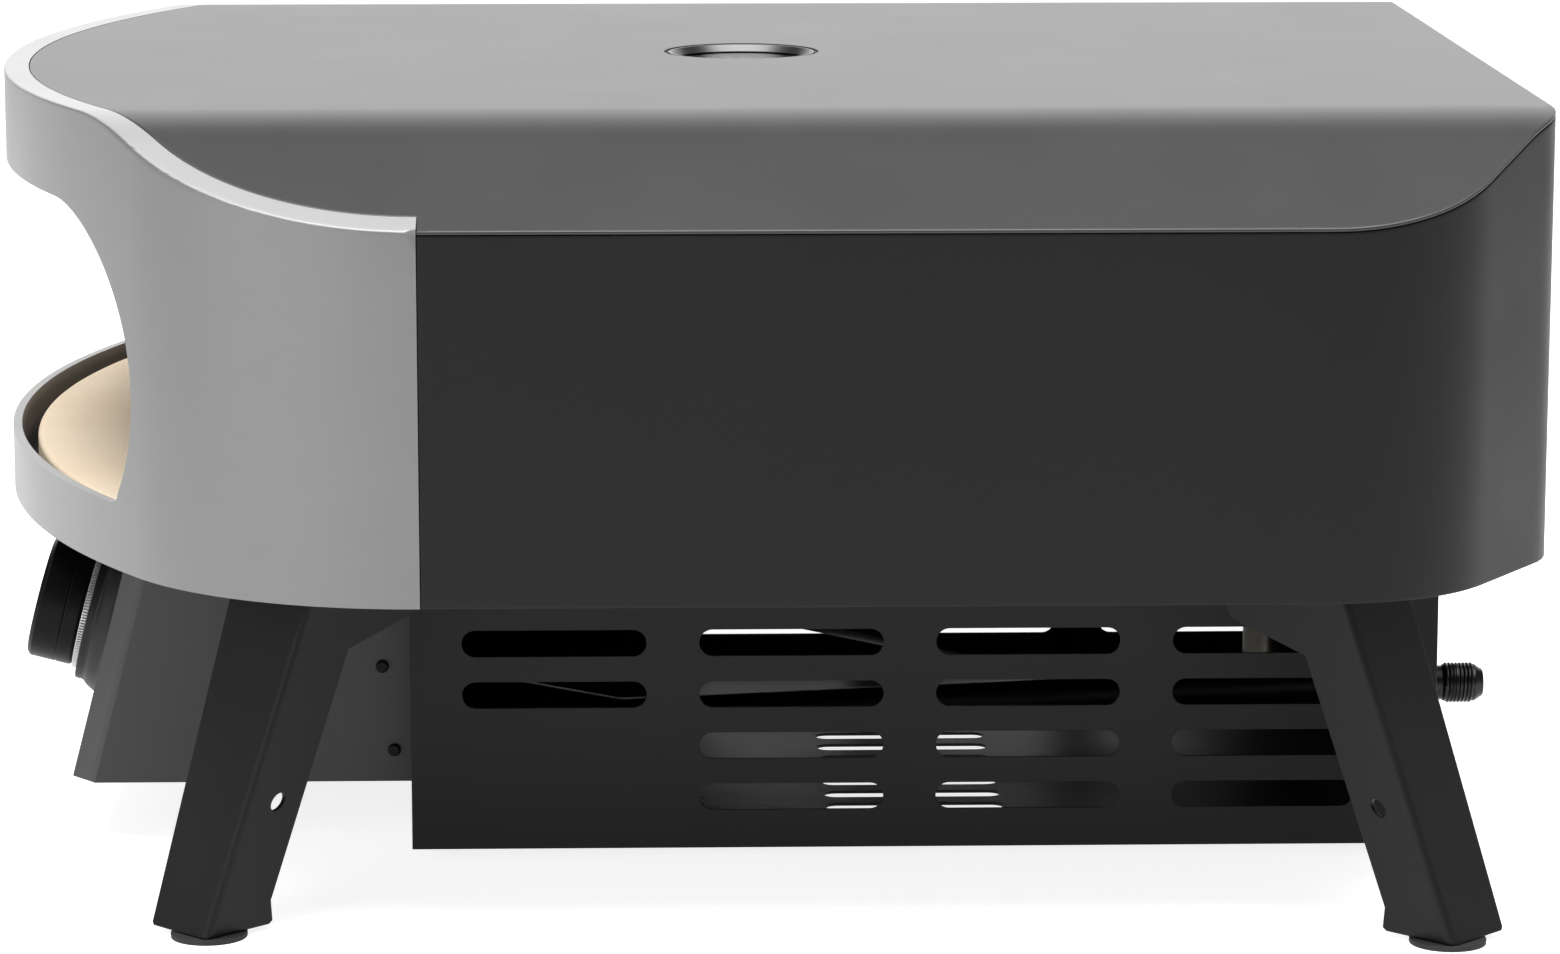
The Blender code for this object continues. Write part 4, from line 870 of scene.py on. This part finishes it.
def turned(section, frame_at, steps=96, radius=0.5 * MM):
    """A closed section of (radius, height) points, turned about the Z axis of frame_at."""
    mesh = bmesh.new()
    rings = []
    for r, h in eased(section, radius):
        angles = [2 * math.pi * i / steps for i in range(steps)]
        rings.append([mesh.verts.new(frame_at @ Vector((r * math.cos(a), r * math.sin(a), h))) for a in angles])
    for low, top in zip(rings, rings[1:] + rings[:1]):
        for i in range(steps):
            j = (i + 1) % steps
            mesh.faces.new((low[i], low[j], top[j], top[i]))
    bmesh.ops.remove_doubles(mesh, verts=mesh.verts, dist=0.001 * MM)
    bmesh.ops.dissolve_degenerate(mesh, edges=mesh.edges, dist=0.001 * MM)
    return mesh


def centre_of(node):
    low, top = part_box(node)
    return Vector(low).lerp(Vector(top), 0.5)


# %% Feet
PAD_T = 1.9 * MM
for tag in ("front", "rear"):
    for hand in ("right", "left"):
        node = f"foot_{tag}_{hand}"
        middle = centre_of(node)
        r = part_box(node)[1][0] - middle.x
        section = [
            (0, 0),
            (r - 3 * MM, 0),
            (r - 2.6 * MM, 0.5 * MM),
            (r - 1.6 * MM, 0.5 * MM),
            (r - 1.2 * MM, 0),
            (r, 0.1 * MM),
            (r, PAD_T),
            (2.2 * MM, PAD_T),
            (2.2 * MM, 4.5 * MM),
            (3.6 * MM, 4.5 * MM),
            (3.0 * MM, 6.6 * MM),
            (0, 6.8 * MM),
        ]
        mesh = turned(section, Matrix.Translation((middle.x, middle.y, 0)), 64, 0.3 * MM)
        finished(f"{node}_pad", mesh, "rubber", [node])

# %% [markdown]
# ## Knob
# The knob stands square to the tilted fascia. It is a plain black moulding with a bright knurled ring behind it,
# and both dip into a flared bezel when the knob is pressed. Its axis is the hinge's own axis from the record.

# %% Knob axis
joints = {joint["name"]: joint for joint in frame["record"]["behaviour"]["joints"]}
knob_axis = Vector(joints["knob_turn"]["axis"]).normalized()
knob_frame = Matrix.Translation(joints["knob_turn"]["pos_m"]) @ knob_axis.to_track_quat("Z", "Y").to_matrix().to_4x4()
KNOB_R = 25 * MM
KNOB_BACK = 16.5 * MM
KNOB_FACE = 35 * MM
section = [
    (3.3 * MM, KNOB_BACK),
    (KNOB_R - 0.8 * MM, KNOB_BACK),
    (KNOB_R, KNOB_BACK + 0.8 * MM),
    (KNOB_R, KNOB_BACK + 6.4 * MM),
    (KNOB_R - 0.25 * MM, KNOB_BACK + 6.6 * MM),
    (KNOB_R - 0.25 * MM, KNOB_BACK + 6.9 * MM),
    (KNOB_R, KNOB_BACK + 7.1 * MM),
    (KNOB_R, KNOB_FACE - 1.6 * MM),
    (KNOB_R - 1.6 * MM, KNOB_FACE),
    (KNOB_R - 4 * MM, KNOB_FACE),
    (KNOB_R - 6 * MM, KNOB_FACE - 0.8 * MM),
    (0, KNOB_FACE - 1.1 * MM),
    (0, KNOB_BACK + 9 * MM),
    (3.3 * MM, KNOB_BACK + 9 * MM),
]
finished("knob_moulding", turned(section, knob_frame, 128, 0.5 * MM), "black_plastic", ["knob"], "knob")

# %% Bezel
section = [
    (12 * MM, 0.3 * MM),
    (37 * MM, 0.3 * MM),
    (37 * MM, 1.1 * MM),
    (33.4 * MM, 4.6 * MM),
    (31.1 * MM, 8.8 * MM),
    (29.5 * MM, 10.4 * MM),
    (29.5 * MM, 13.8 * MM),
    (27.5 * MM, 13.8 * MM),
    (27.5 * MM, 3 * MM),
    (12 * MM, 3 * MM),
]
finished("bezel_moulding", turned(section, knob_frame, 128, 0.7 * MM), "satin_black", ["knob_bezel"])

# %% [markdown]
# ## Slotted base
# The side plates and the floor of the base are punched with rows of round-ended slots, so that the burner can
# draw air. A punch makes the same slot again and again on a grid, and Geometry Nodes does the same: it draws one
# slot, puts it on a grid of points, and cuts all of them from the plate at once.


# %% Geometry trees
def new_tree(name, sizes):
    """A geometry tree with a geometry input and named sizes; sizes maps each name to its kind of socket."""
    tree = bpy.data.node_groups.new(name, "GeometryNodeTree")
    tree.interface.new_socket("Geometry", in_out="INPUT", socket_type="NodeSocketGeometry")
    for label, kind in sizes.items():
        tree.interface.new_socket(label, in_out="INPUT", socket_type=f"NodeSocket{kind}")
    tree.interface.new_socket("Geometry", in_out="OUTPUT", socket_type="NodeSocketGeometry")
    given = tree.nodes.new("NodeGroupInput").outputs
    return tree, given


def close_tree(tree, geometry, finish):
    """Makes the copies real, gives them a finish and sends them to the tree's output."""
    real = add_node(tree, "GeometryNodeRealizeInstances", {0: geometry})
    coated = add_node(tree, "GeometryNodeSetMaterial", {"Geometry": real.outputs[0], "Material": finish})
    add_node(tree, "NodeGroupOutput", {0: coated.outputs[0]})


def grown_mesh(tree, sizes_list, start=None):
    """Runs a tree once for each set of sizes, one after another on the same mesh, and returns a bmesh."""
    data = bpy.data.meshes.new("workpiece")
    if start:
        start.to_mesh(data)
        start.free()
    work = to_scene("workpiece", data)
    for sizes in sizes_list:
        modifier = work.modifiers.new("grow", "NODES")
        modifier.node_group = tree
        for item in tree.interface.items_tree:
            if item.in_out == "INPUT" and item.name in sizes:
                modifier[item.identifier] = sizes[item.name]
    graph = bpy.context.evaluated_depsgraph_get()
    made = bpy.data.meshes.new_from_object(work.evaluated_get(graph))
    bpy.data.objects.remove(work)
    mesh = bmesh.new()
    mesh.from_mesh(made)
    bpy.data.meshes.remove(made)
    return mesh


def joined(mesh, extra):
    """Adds the second mesh to the first and frees it."""
    data = bpy.data.meshes.new("extra")
    extra.to_mesh(data)
    extra.free()
    mesh.from_mesh(data)
    bpy.data.meshes.remove(data)
    return mesh


def box_mesh(low, top):
    mesh = bmesh.new()
    bmesh.ops.create_cube(mesh, size=1)
    size = Vector(top) - Vector(low)
    middle = Vector(low).lerp(Vector(top), 0.5)
    for vert in mesh.verts:
        vert.co = Vector(c * s for c, s in zip(vert.co, size)) + middle
    return mesh


# %% Punch
def punch_tree(finish):
    """Cuts a grid of round-ended slots. The grid is drawn flat, then turned and moved onto the plate."""
    kinds = {"Length": "Float", "Height": "Float", "Pitch": "Vector", "Columns": "Int", "Rows": "Int"}
    tree, given = new_tree("punch_slots", kinds | {"Turn": "Rotation", "Middle": "Vector"})
    slot = add_node(tree, "GeometryNodeCurvePrimitiveQuadrilateral", {0: given["Length"], 1: given["Height"]})
    radius = add_node(tree, "ShaderNodeMath", {0: given["Height"], 1: 0.499}, operation="MULTIPLY")
    rounded = add_node(
        tree,
        "GeometryNodeFilletCurve",
        {"Curve": slot.outputs[0], "Count": 7, "Radius": radius.outputs[0]},
        mode="POLY",
    )
    face = add_node(tree, "GeometryNodeFillCurve", {"Curve": rounded.outputs[0]}, mode="NGONS")
    dropped = add_node(
        tree, "GeometryNodeTransform", {"Geometry": face.outputs[0], "Translation": (0, 0, -5 * MM)}
    )
    lifted = add_node(tree, "GeometryNodeExtrudeMesh", {"Mesh": dropped.outputs[0], "Offset Scale": 10 * MM})
    base = add_node(tree, "GeometryNodeFlipFaces", {"Mesh": dropped.outputs[0]})
    both = add_node(tree, "GeometryNodeJoinGeometry", {0: lifted.outputs[0]})
    tree.links.new(base.outputs[0], both.inputs[0])
    tool = add_node(tree, "GeometryNodeMergeByDistance", {"Geometry": both.outputs[0], "Distance": 0.001 * MM})
    split = add_node(tree, "ShaderNodeSeparateXYZ", {0: given["Pitch"]})
    spans = []
    for axis, count in ((0, "Columns"), (1, "Rows")):
        gaps = add_node(tree, "ShaderNodeMath", {0: given[count], 1: 1}, operation="SUBTRACT")
        span = add_node(tree, "ShaderNodeMath", {0: gaps.outputs[0], 1: split.outputs[axis]}, operation="MULTIPLY")
        spans.append(span.outputs[0])
    grid = add_node(
        tree,
        "GeometryNodeMeshGrid",
        {"Size X": spans[0], "Size Y": spans[1], "Vertices X": given["Columns"], "Vertices Y": given["Rows"]},
    )
    spots = add_node(tree, "GeometryNodeMeshToPoints", {"Mesh": grid.outputs[0]})
    tools = add_node(tree, "GeometryNodeInstanceOnPoints", {"Points": spots.outputs[0], "Instance": tool.outputs[0]})
    real = add_node(tree, "GeometryNodeRealizeInstances", {0: tools.outputs[0]})
    placed = add_node(
        tree,
        "GeometryNodeTransform",
        {"Geometry": real.outputs[0], "Translation": given["Middle"], "Rotation": given["Turn"]},
    )
    cut = add_node(
        tree,
        "GeometryNodeMeshBoolean",
        {"Mesh 1": given["Geometry"], "Mesh 2": placed.outputs[0]},
        operation="DIFFERENCE",
        solver="EXACT",
    )
    close_tree(tree, cut.outputs[0], finish)
    return tree


SLOT_L, SLOT_H = 69.7 * MM, 10.1 * MM
PITCH_Y, PITCH_Z = 89.6 * MM, 19.9 * MM
first_slot = Vector((-74 * MM, height - 207.6 * MM))
punch = punch_tree(finishes["black_paint"])
upright = Euler((math.pi / 2, 0, math.pi / 2))
for hand in ("right", "left"):
    node = f"base_side_{hand}"
    low_corner, top_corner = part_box(node)
    x = (low_corner[0] + top_corner[0]) / 2
    shared = {"Length": SLOT_L, "Height": SLOT_H, "Pitch": (PITCH_Y, PITCH_Z, 0), "Turn": upright}
    front_pair = shared | {"Columns": 1, "Rows": 2, "Middle": (x, first_slot.x, first_slot.y - PITCH_Z / 2)}
    rear_field = shared | {
        "Columns": 3,
        "Rows": 4,
        "Middle": (x, first_slot.x + 2 * PITCH_Y, first_slot.y - 1.5 * PITCH_Z),
    }
    mesh = grown_mesh(punch, [front_pair, rear_field], box_mesh(low_corner, top_corner))
    round_edges(mesh, 0.3 * MM, 2)
    finished(f"{node}_plate", mesh, "black_paint", [node])
print("a base side has", weights["base_side_right_plate"], "faces")

low_corner, top_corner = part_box("base_floor")
rows_of_air = {"Length": SLOT_L, "Height": SLOT_H, "Pitch": (0, 20 * MM, 0), "Turn": Euler((0, 0, math.pi / 2))}
rows_of_air |= {"Columns": 1, "Rows": 11, "Middle": (0, 65.5 * MM, low_corner[2])}
mesh = grown_mesh(punch, [rows_of_air], box_mesh(low_corner, top_corner))
round_edges(mesh, 0.3 * MM, 2)
finished("base_floor_plate", mesh, "black_paint", ["base_floor"])

# %% [markdown]
# ## Knurled ring
# The bright ring behind the knob is straight-knurled so that fingers grip it: fine ridges that run along the
# axis, about a millimetre apart. One ridge is a thin bar, and a circle of points repeats it.


# %% Knurl
def repeat_round(finish):
    """Bars that lie along Z, evenly spaced on a circle."""
    kinds = {"Radius": "Float", "Count": "Int", "Bar": "Float", "Length": "Float"}
    tree, given = new_tree("bars_on_a_circle", kinds)
    sizes = {"Resolution": given["Count"], "Radius": given["Radius"]}
    ring = add_node(tree, "GeometryNodeCurvePrimitiveCircle", sizes)
    spots = add_node(tree, "GeometryNodeCurveToPoints", {"Curve": ring.outputs[0]}, mode="EVALUATED")
    bar = add_node(
        tree,
        "GeometryNodeMeshCylinder",
        {"Vertices": 6, "Radius": given["Bar"], "Depth": given["Length"]},
        fill_type="NGON",
    )
    bars = add_node(tree, "GeometryNodeInstanceOnPoints", {"Points": spots.outputs[0], "Instance": bar.outputs[0]})
    both = add_node(tree, "GeometryNodeJoinGeometry", {0: bars.outputs[0]})
    tree.links.new(given["Geometry"], both.inputs[0])
    close_tree(tree, both.outputs[0], finish)
    return tree


RING_R = 25.8 * MM
RING_LOW, RING_HIGH = 13.2 * MM, 16.2 * MM
BAR_R = 0.42 * MM
RIDGES = 132
knurl = repeat_round(finishes["satin_nickel"])
bars = grown_mesh(
    knurl, [{"Radius": RING_R - BAR_R, "Count": RIDGES, "Bar": BAR_R, "Length": RING_HIGH - RING_LOW - 0.5 * MM}]
)
bars.transform(knob_frame @ Matrix.Translation((0, 0, (RING_LOW + RING_HIGH) / 2)))
core_r = RING_R - 2 * BAR_R
section = [(3.3 * MM, RING_LOW), (core_r, RING_LOW), (core_r, RING_HIGH), (3.3 * MM, RING_HIGH)]
core = turned(section, knob_frame, 96, 0.3 * MM)
finished("knurled_ring", joined(bars, core), "satin_nickel", ["knob_ring"], "knob")
print("ridge spacing", round(2 * math.pi * RING_R / RIDGES * 1000, 2), "mm")

# %% [markdown]
# ## Gas inlet
# The hose screws onto a flare fitting at the back. Its thread is one ridge that climbs round the shank, so it is
# a V profile that Geometry Nodes carries along a spiral. The nose cone in front of it is turned.


# %% Thread
def thread_tree(finish):
    """A three-sided ridge on a spiral round Z."""
    tree, given = new_tree("thread", {"Radius": "Float", "Pitch": "Float", "Turns": "Float", "Depth": "Float"})
    rise = add_node(tree, "ShaderNodeMath", {0: given["Pitch"], 1: given["Turns"]}, operation="MULTIPLY")
    path = add_node(
        tree,
        "GeometryNodeCurveSpiral",
        {
            "Resolution": 40,
            "Rotations": given["Turns"],
            "Start Radius": given["Radius"],
            "End Radius": given["Radius"],
            "Height": rise.outputs[0],
        },
    )
    ridge = add_node(tree, "GeometryNodeCurvePrimitiveCircle", {"Resolution": 6, "Radius": given["Depth"]})
    solid = add_node(
        tree,
        "GeometryNodeCurveToMesh",
        {"Curve": path.outputs[0], "Profile Curve": ridge.outputs[0], "Fill Caps": True},
    )
    close_tree(tree, solid.outputs[0], finish)
    return tree


inlet_low, inlet_high = (Vector(corner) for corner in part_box("gas_inlet"))
THREAD_R, THREAD_DEPTH, THREAD_PITCH, THREAD_TURNS = 7.9 * MM, 0.52 * MM, 1.41 * MM, 7.4
inlet_middle = inlet_low.lerp(inlet_high, 0.5)
inlet_end = (inlet_middle.x, inlet_high.y, inlet_middle.z)
inlet_frame = Matrix.Translation(inlet_end) @ Matrix.Rotation(-math.pi / 2, 4, "X")
ridge = grown_mesh(
    thread_tree(finishes["dark_steel"]),
    [{"Radius": THREAD_R - THREAD_DEPTH, "Pitch": THREAD_PITCH, "Turns": THREAD_TURNS, "Depth": THREAD_DEPTH}],
)
ridge.transform(inlet_frame @ Matrix.Translation((0, 0, -15 * MM)))
core_r = THREAD_R - THREAD_DEPTH - 0.1 * MM
section = [
    (3.5 * MM, inlet_low.y - inlet_high.y),
    (THREAD_R - 0.3 * MM, inlet_low.y - inlet_high.y),
    (THREAD_R - 0.3 * MM, -20.5 * MM),
    (core_r - 0.6 * MM, -19.5 * MM),
    (core_r - 0.6 * MM, -16.2 * MM),
    (core_r, -15.6 * MM),
    (core_r, -3.4 * MM),
    (5.9 * MM, -1.4 * MM),
    (5.2 * MM, -0.2 * MM),
    (3.5 * MM, 0),
]
core = turned(section, inlet_frame, 64, 0.4 * MM)
finished("flare_inlet", joined(ridge, core), "dark_steel", ["gas_inlet"], outward=False)

# %% [markdown]
# ## Stone
# The stone is a pressed and fired slab. Its front edge follows the arc of the band, and its top edge is rounded
# by a few millimetres, because a sharp corner of fired clay chips.

# %% Stone
stone_low, stone_high = (Vector(corner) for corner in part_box("pizza_stone"))
stone_arc = FRONT_R - (stone_low.y - front_y)
reach = math.asin(stone_high.x / stone_arc)
outline = []
for turn in between(-reach, reach, 0.01):
    outline.append((stone_arc * math.sin(turn), arc_y - stone_arc * math.cos(turn)))
outline += [(stone_high.x, stone_high.y), (stone_low.x, stone_high.y)]
mesh = bmesh.new()
lower_face = mesh.faces.new([mesh.verts.new((x, y, stone_low.z)) for x, y in outline])
lifted = bmesh.ops.extrude_face_region(mesh, geom=[lower_face])["geom"]
for vert in (item for item in lifted if isinstance(item, bmesh.types.BMVert)):
    vert.co.z = stone_high.z
bmesh.ops.recalc_face_normals(mesh, faces=mesh.faces)
round_edges(mesh, 2.2 * MM, 5)
finished("stone_slab", mesh, "stone", ["pizza_stone"])

# %% [markdown]
# ## Thermometer dial
# A bimetal thermometer sits in the roof. Its dial has a tick for every ten degrees and a longer one for every
# hundred, with plain numbers, over three quarters of a circle. The ticks are small blocks on an arc of points.


# %% Ticks
DIAL_START, DIAL_SWEEP = 225, 270  # degrees, anticlockwise from +X; the scale runs clockwise


def tick_tree(finish):
    """Blocks on an arc round Z that all point to its centre."""
    kinds = {"Radius": "Float", "Count": "Int", "Length": "Float", "Width": "Float"}
    tree, given = new_tree("dial_ticks", kinds)
    arc = add_node(
        tree,
        "GeometryNodeCurveArc",
        {
            "Resolution": given["Count"],
            "Radius": given["Radius"],
            "Start Angle": math.radians(DIAL_START - DIAL_SWEEP),
            "Sweep Angle": math.radians(DIAL_SWEEP),
        },
        mode="RADIUS",
    )
    spots = add_node(tree, "GeometryNodeCurveToPoints", {"Curve": arc.outputs[0]}, mode="EVALUATED")
    size = add_node(tree, "ShaderNodeCombineXYZ", {0: given["Length"], 1: given["Width"], 2: 0.12 * MM})
    block = add_node(tree, "GeometryNodeMeshCube", {"Size": size.outputs[0]})
    place = add_node(tree, "GeometryNodeInputPosition")
    turn = add_node(
        tree, "FunctionNodeAlignRotationToVector", {"Vector": place.outputs[0]}, axis="X", pivot_axis="Z"
    )
    ticks = add_node(
        tree,
        "GeometryNodeInstanceOnPoints",
        {"Points": spots.outputs[0], "Instance": block.outputs[0], "Rotation": turn.outputs[0]},
    )
    both = add_node(tree, "GeometryNodeJoinGeometry", {0: ticks.outputs[0]})
    tree.links.new(given["Geometry"], both.inputs[0])
    close_tree(tree, both.outputs[0], finish)
    return tree


NUMBER_R, NUMBER_SIZE = 17.6 * MM, 5.2 * MM
HUNDREDS = 5
dial_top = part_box("thermometer_dial")[1][2]
ticks = grown_mesh(
    tick_tree(finishes["black_plastic"]),
    [
        {"Radius": 25.5 * MM, "Count": 51, "Length": 2 * MM, "Width": 0.35 * MM},
        {"Radius": 24.6 * MM, "Count": 6, "Length": 3.8 * MM, "Width": 0.8 * MM},
    ],
)
ticks.transform(Matrix.Translation((0, 0, dial_top + 0.06 * MM)))
for i in range(HUNDREDS + 1):
    turn = math.radians(DIAL_START - DIAL_SWEEP / HUNDREDS * i)
    text = bpy.data.curves.new("number", "FONT")
    text.body, text.size = str(100 * i), NUMBER_SIZE
    text.align_x, text.align_y = "CENTER", "CENTER"
    label = to_scene("number", text)
    flat = bpy.data.meshes.new_from_object(label.evaluated_get(bpy.context.evaluated_depsgraph_get()))
    spot = (NUMBER_R * math.cos(turn), NUMBER_R * math.sin(turn), dial_top + 0.05 * MM)
    flat.transform(Matrix.Translation(spot))
    ticks.from_mesh(flat)
    bpy.data.objects.remove(label)
finished("dial_marks", ticks, "black_plastic", outward=False)

# %% Dial ring
ring_low, ring_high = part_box("thermometer_ring")
outer = ring_high[0]
section = [
    (outer - 2.9 * MM, ring_low[2]),
    (outer, ring_low[2]),
    (outer, ring_high[2]),
    (outer - 0.9 * MM, ring_high[2]),
]
finished("dial_ring", turned(section, Matrix.Identity(4), 128, 0.25 * MM), "dial_metal", ["thermometer_ring"])

# %% [markdown]
# ## Pieces that keep their frame shape
# The rest already has the right shape but razor edges. A copy of each is merged, its flat faces are joined again,
# and its edges get the small radius that folding, moulding or tumbling leaves.

# %% Softened copies
SOFT = (  # edge radius in millimetres, and the pieces that have it
    (0.3, "body_pan"),
    (0.2, "mouth_shield chamber_wall chamber_ceiling"),
    (1.5, "roof_blanket"),
    (0.5, "stone_rail_left stone_rail_right"),
    (0.2, "burner_guard burner_tube burner_riser"),
    (0.5, "burner_cap_left burner_cap_right burner_saddle_left burner_saddle_right"),
    (0.5, "burner_saddle_rear_left burner_saddle_rear_right"),
    (0.3, "igniter_electrode base_front base_rear"),
    (0.5, "control_shell"),
    (0.4, "control_floor"),
    (0.2, "control_screw_upper_left control_screw_upper_right"),
    (0.2, "control_screw_lower_left control_screw_lower_right"),
    (0.6, "gas_valve"),
    (0.3, "valve_plate valve_stem stem_collar"),
    (0.2, "supply_pipe feed_pipe"),
    (0.5, "jet_holder inlet_nut probe_nut"),
    (0.2, "thermometer_case"),
    (0.1, "thermometer_dial"),
    (0.2, "thermometer_glass"),
    (0.1, "thermometer_pointer"),
    (0.4, "thermometer_probe"),
)
# Four pieces have a finish of their own in place of the one that their slot names.
DARKER = {
    "control_shell": "charcoal_paint",
    "mouth_shield": "black_paint",
    "feed_pipe": "dark_steel",
    "jet_holder": "dark_steel",
}
softened = [(node, width) for width, nodes in SOFT for node in nodes.split()]
for node, width in softened:
    mesh = bmesh.new()
    mesh.from_mesh(frame["nodes"][node].data)
    bmesh.ops.remove_doubles(mesh, verts=mesh.verts, dist=0.001 * MM)
    bmesh.ops.dissolve_limit(mesh, angle_limit=math.radians(0.5), verts=mesh.verts, edges=mesh.edges)
    round_edges(mesh, width * MM, 2, 45)
    finish = DARKER.get(node, slot_of[node])
    finished(f"{node}_soft", mesh, finish, [node], body_of[node])
print(len(softened), "pieces softened")

# %% [markdown]
# The frame's own pieces carry the finish of their slot, for use without the fine shapes.

# %% Finishes go onto the frame's pieces
for name, obj in frame["nodes"].items():
    obj.data.materials.clear()
    obj.data.materials.append(finishes[slot_of[name]])
print(len(slot_of), "pieces carry", len(finishes), "finishes")
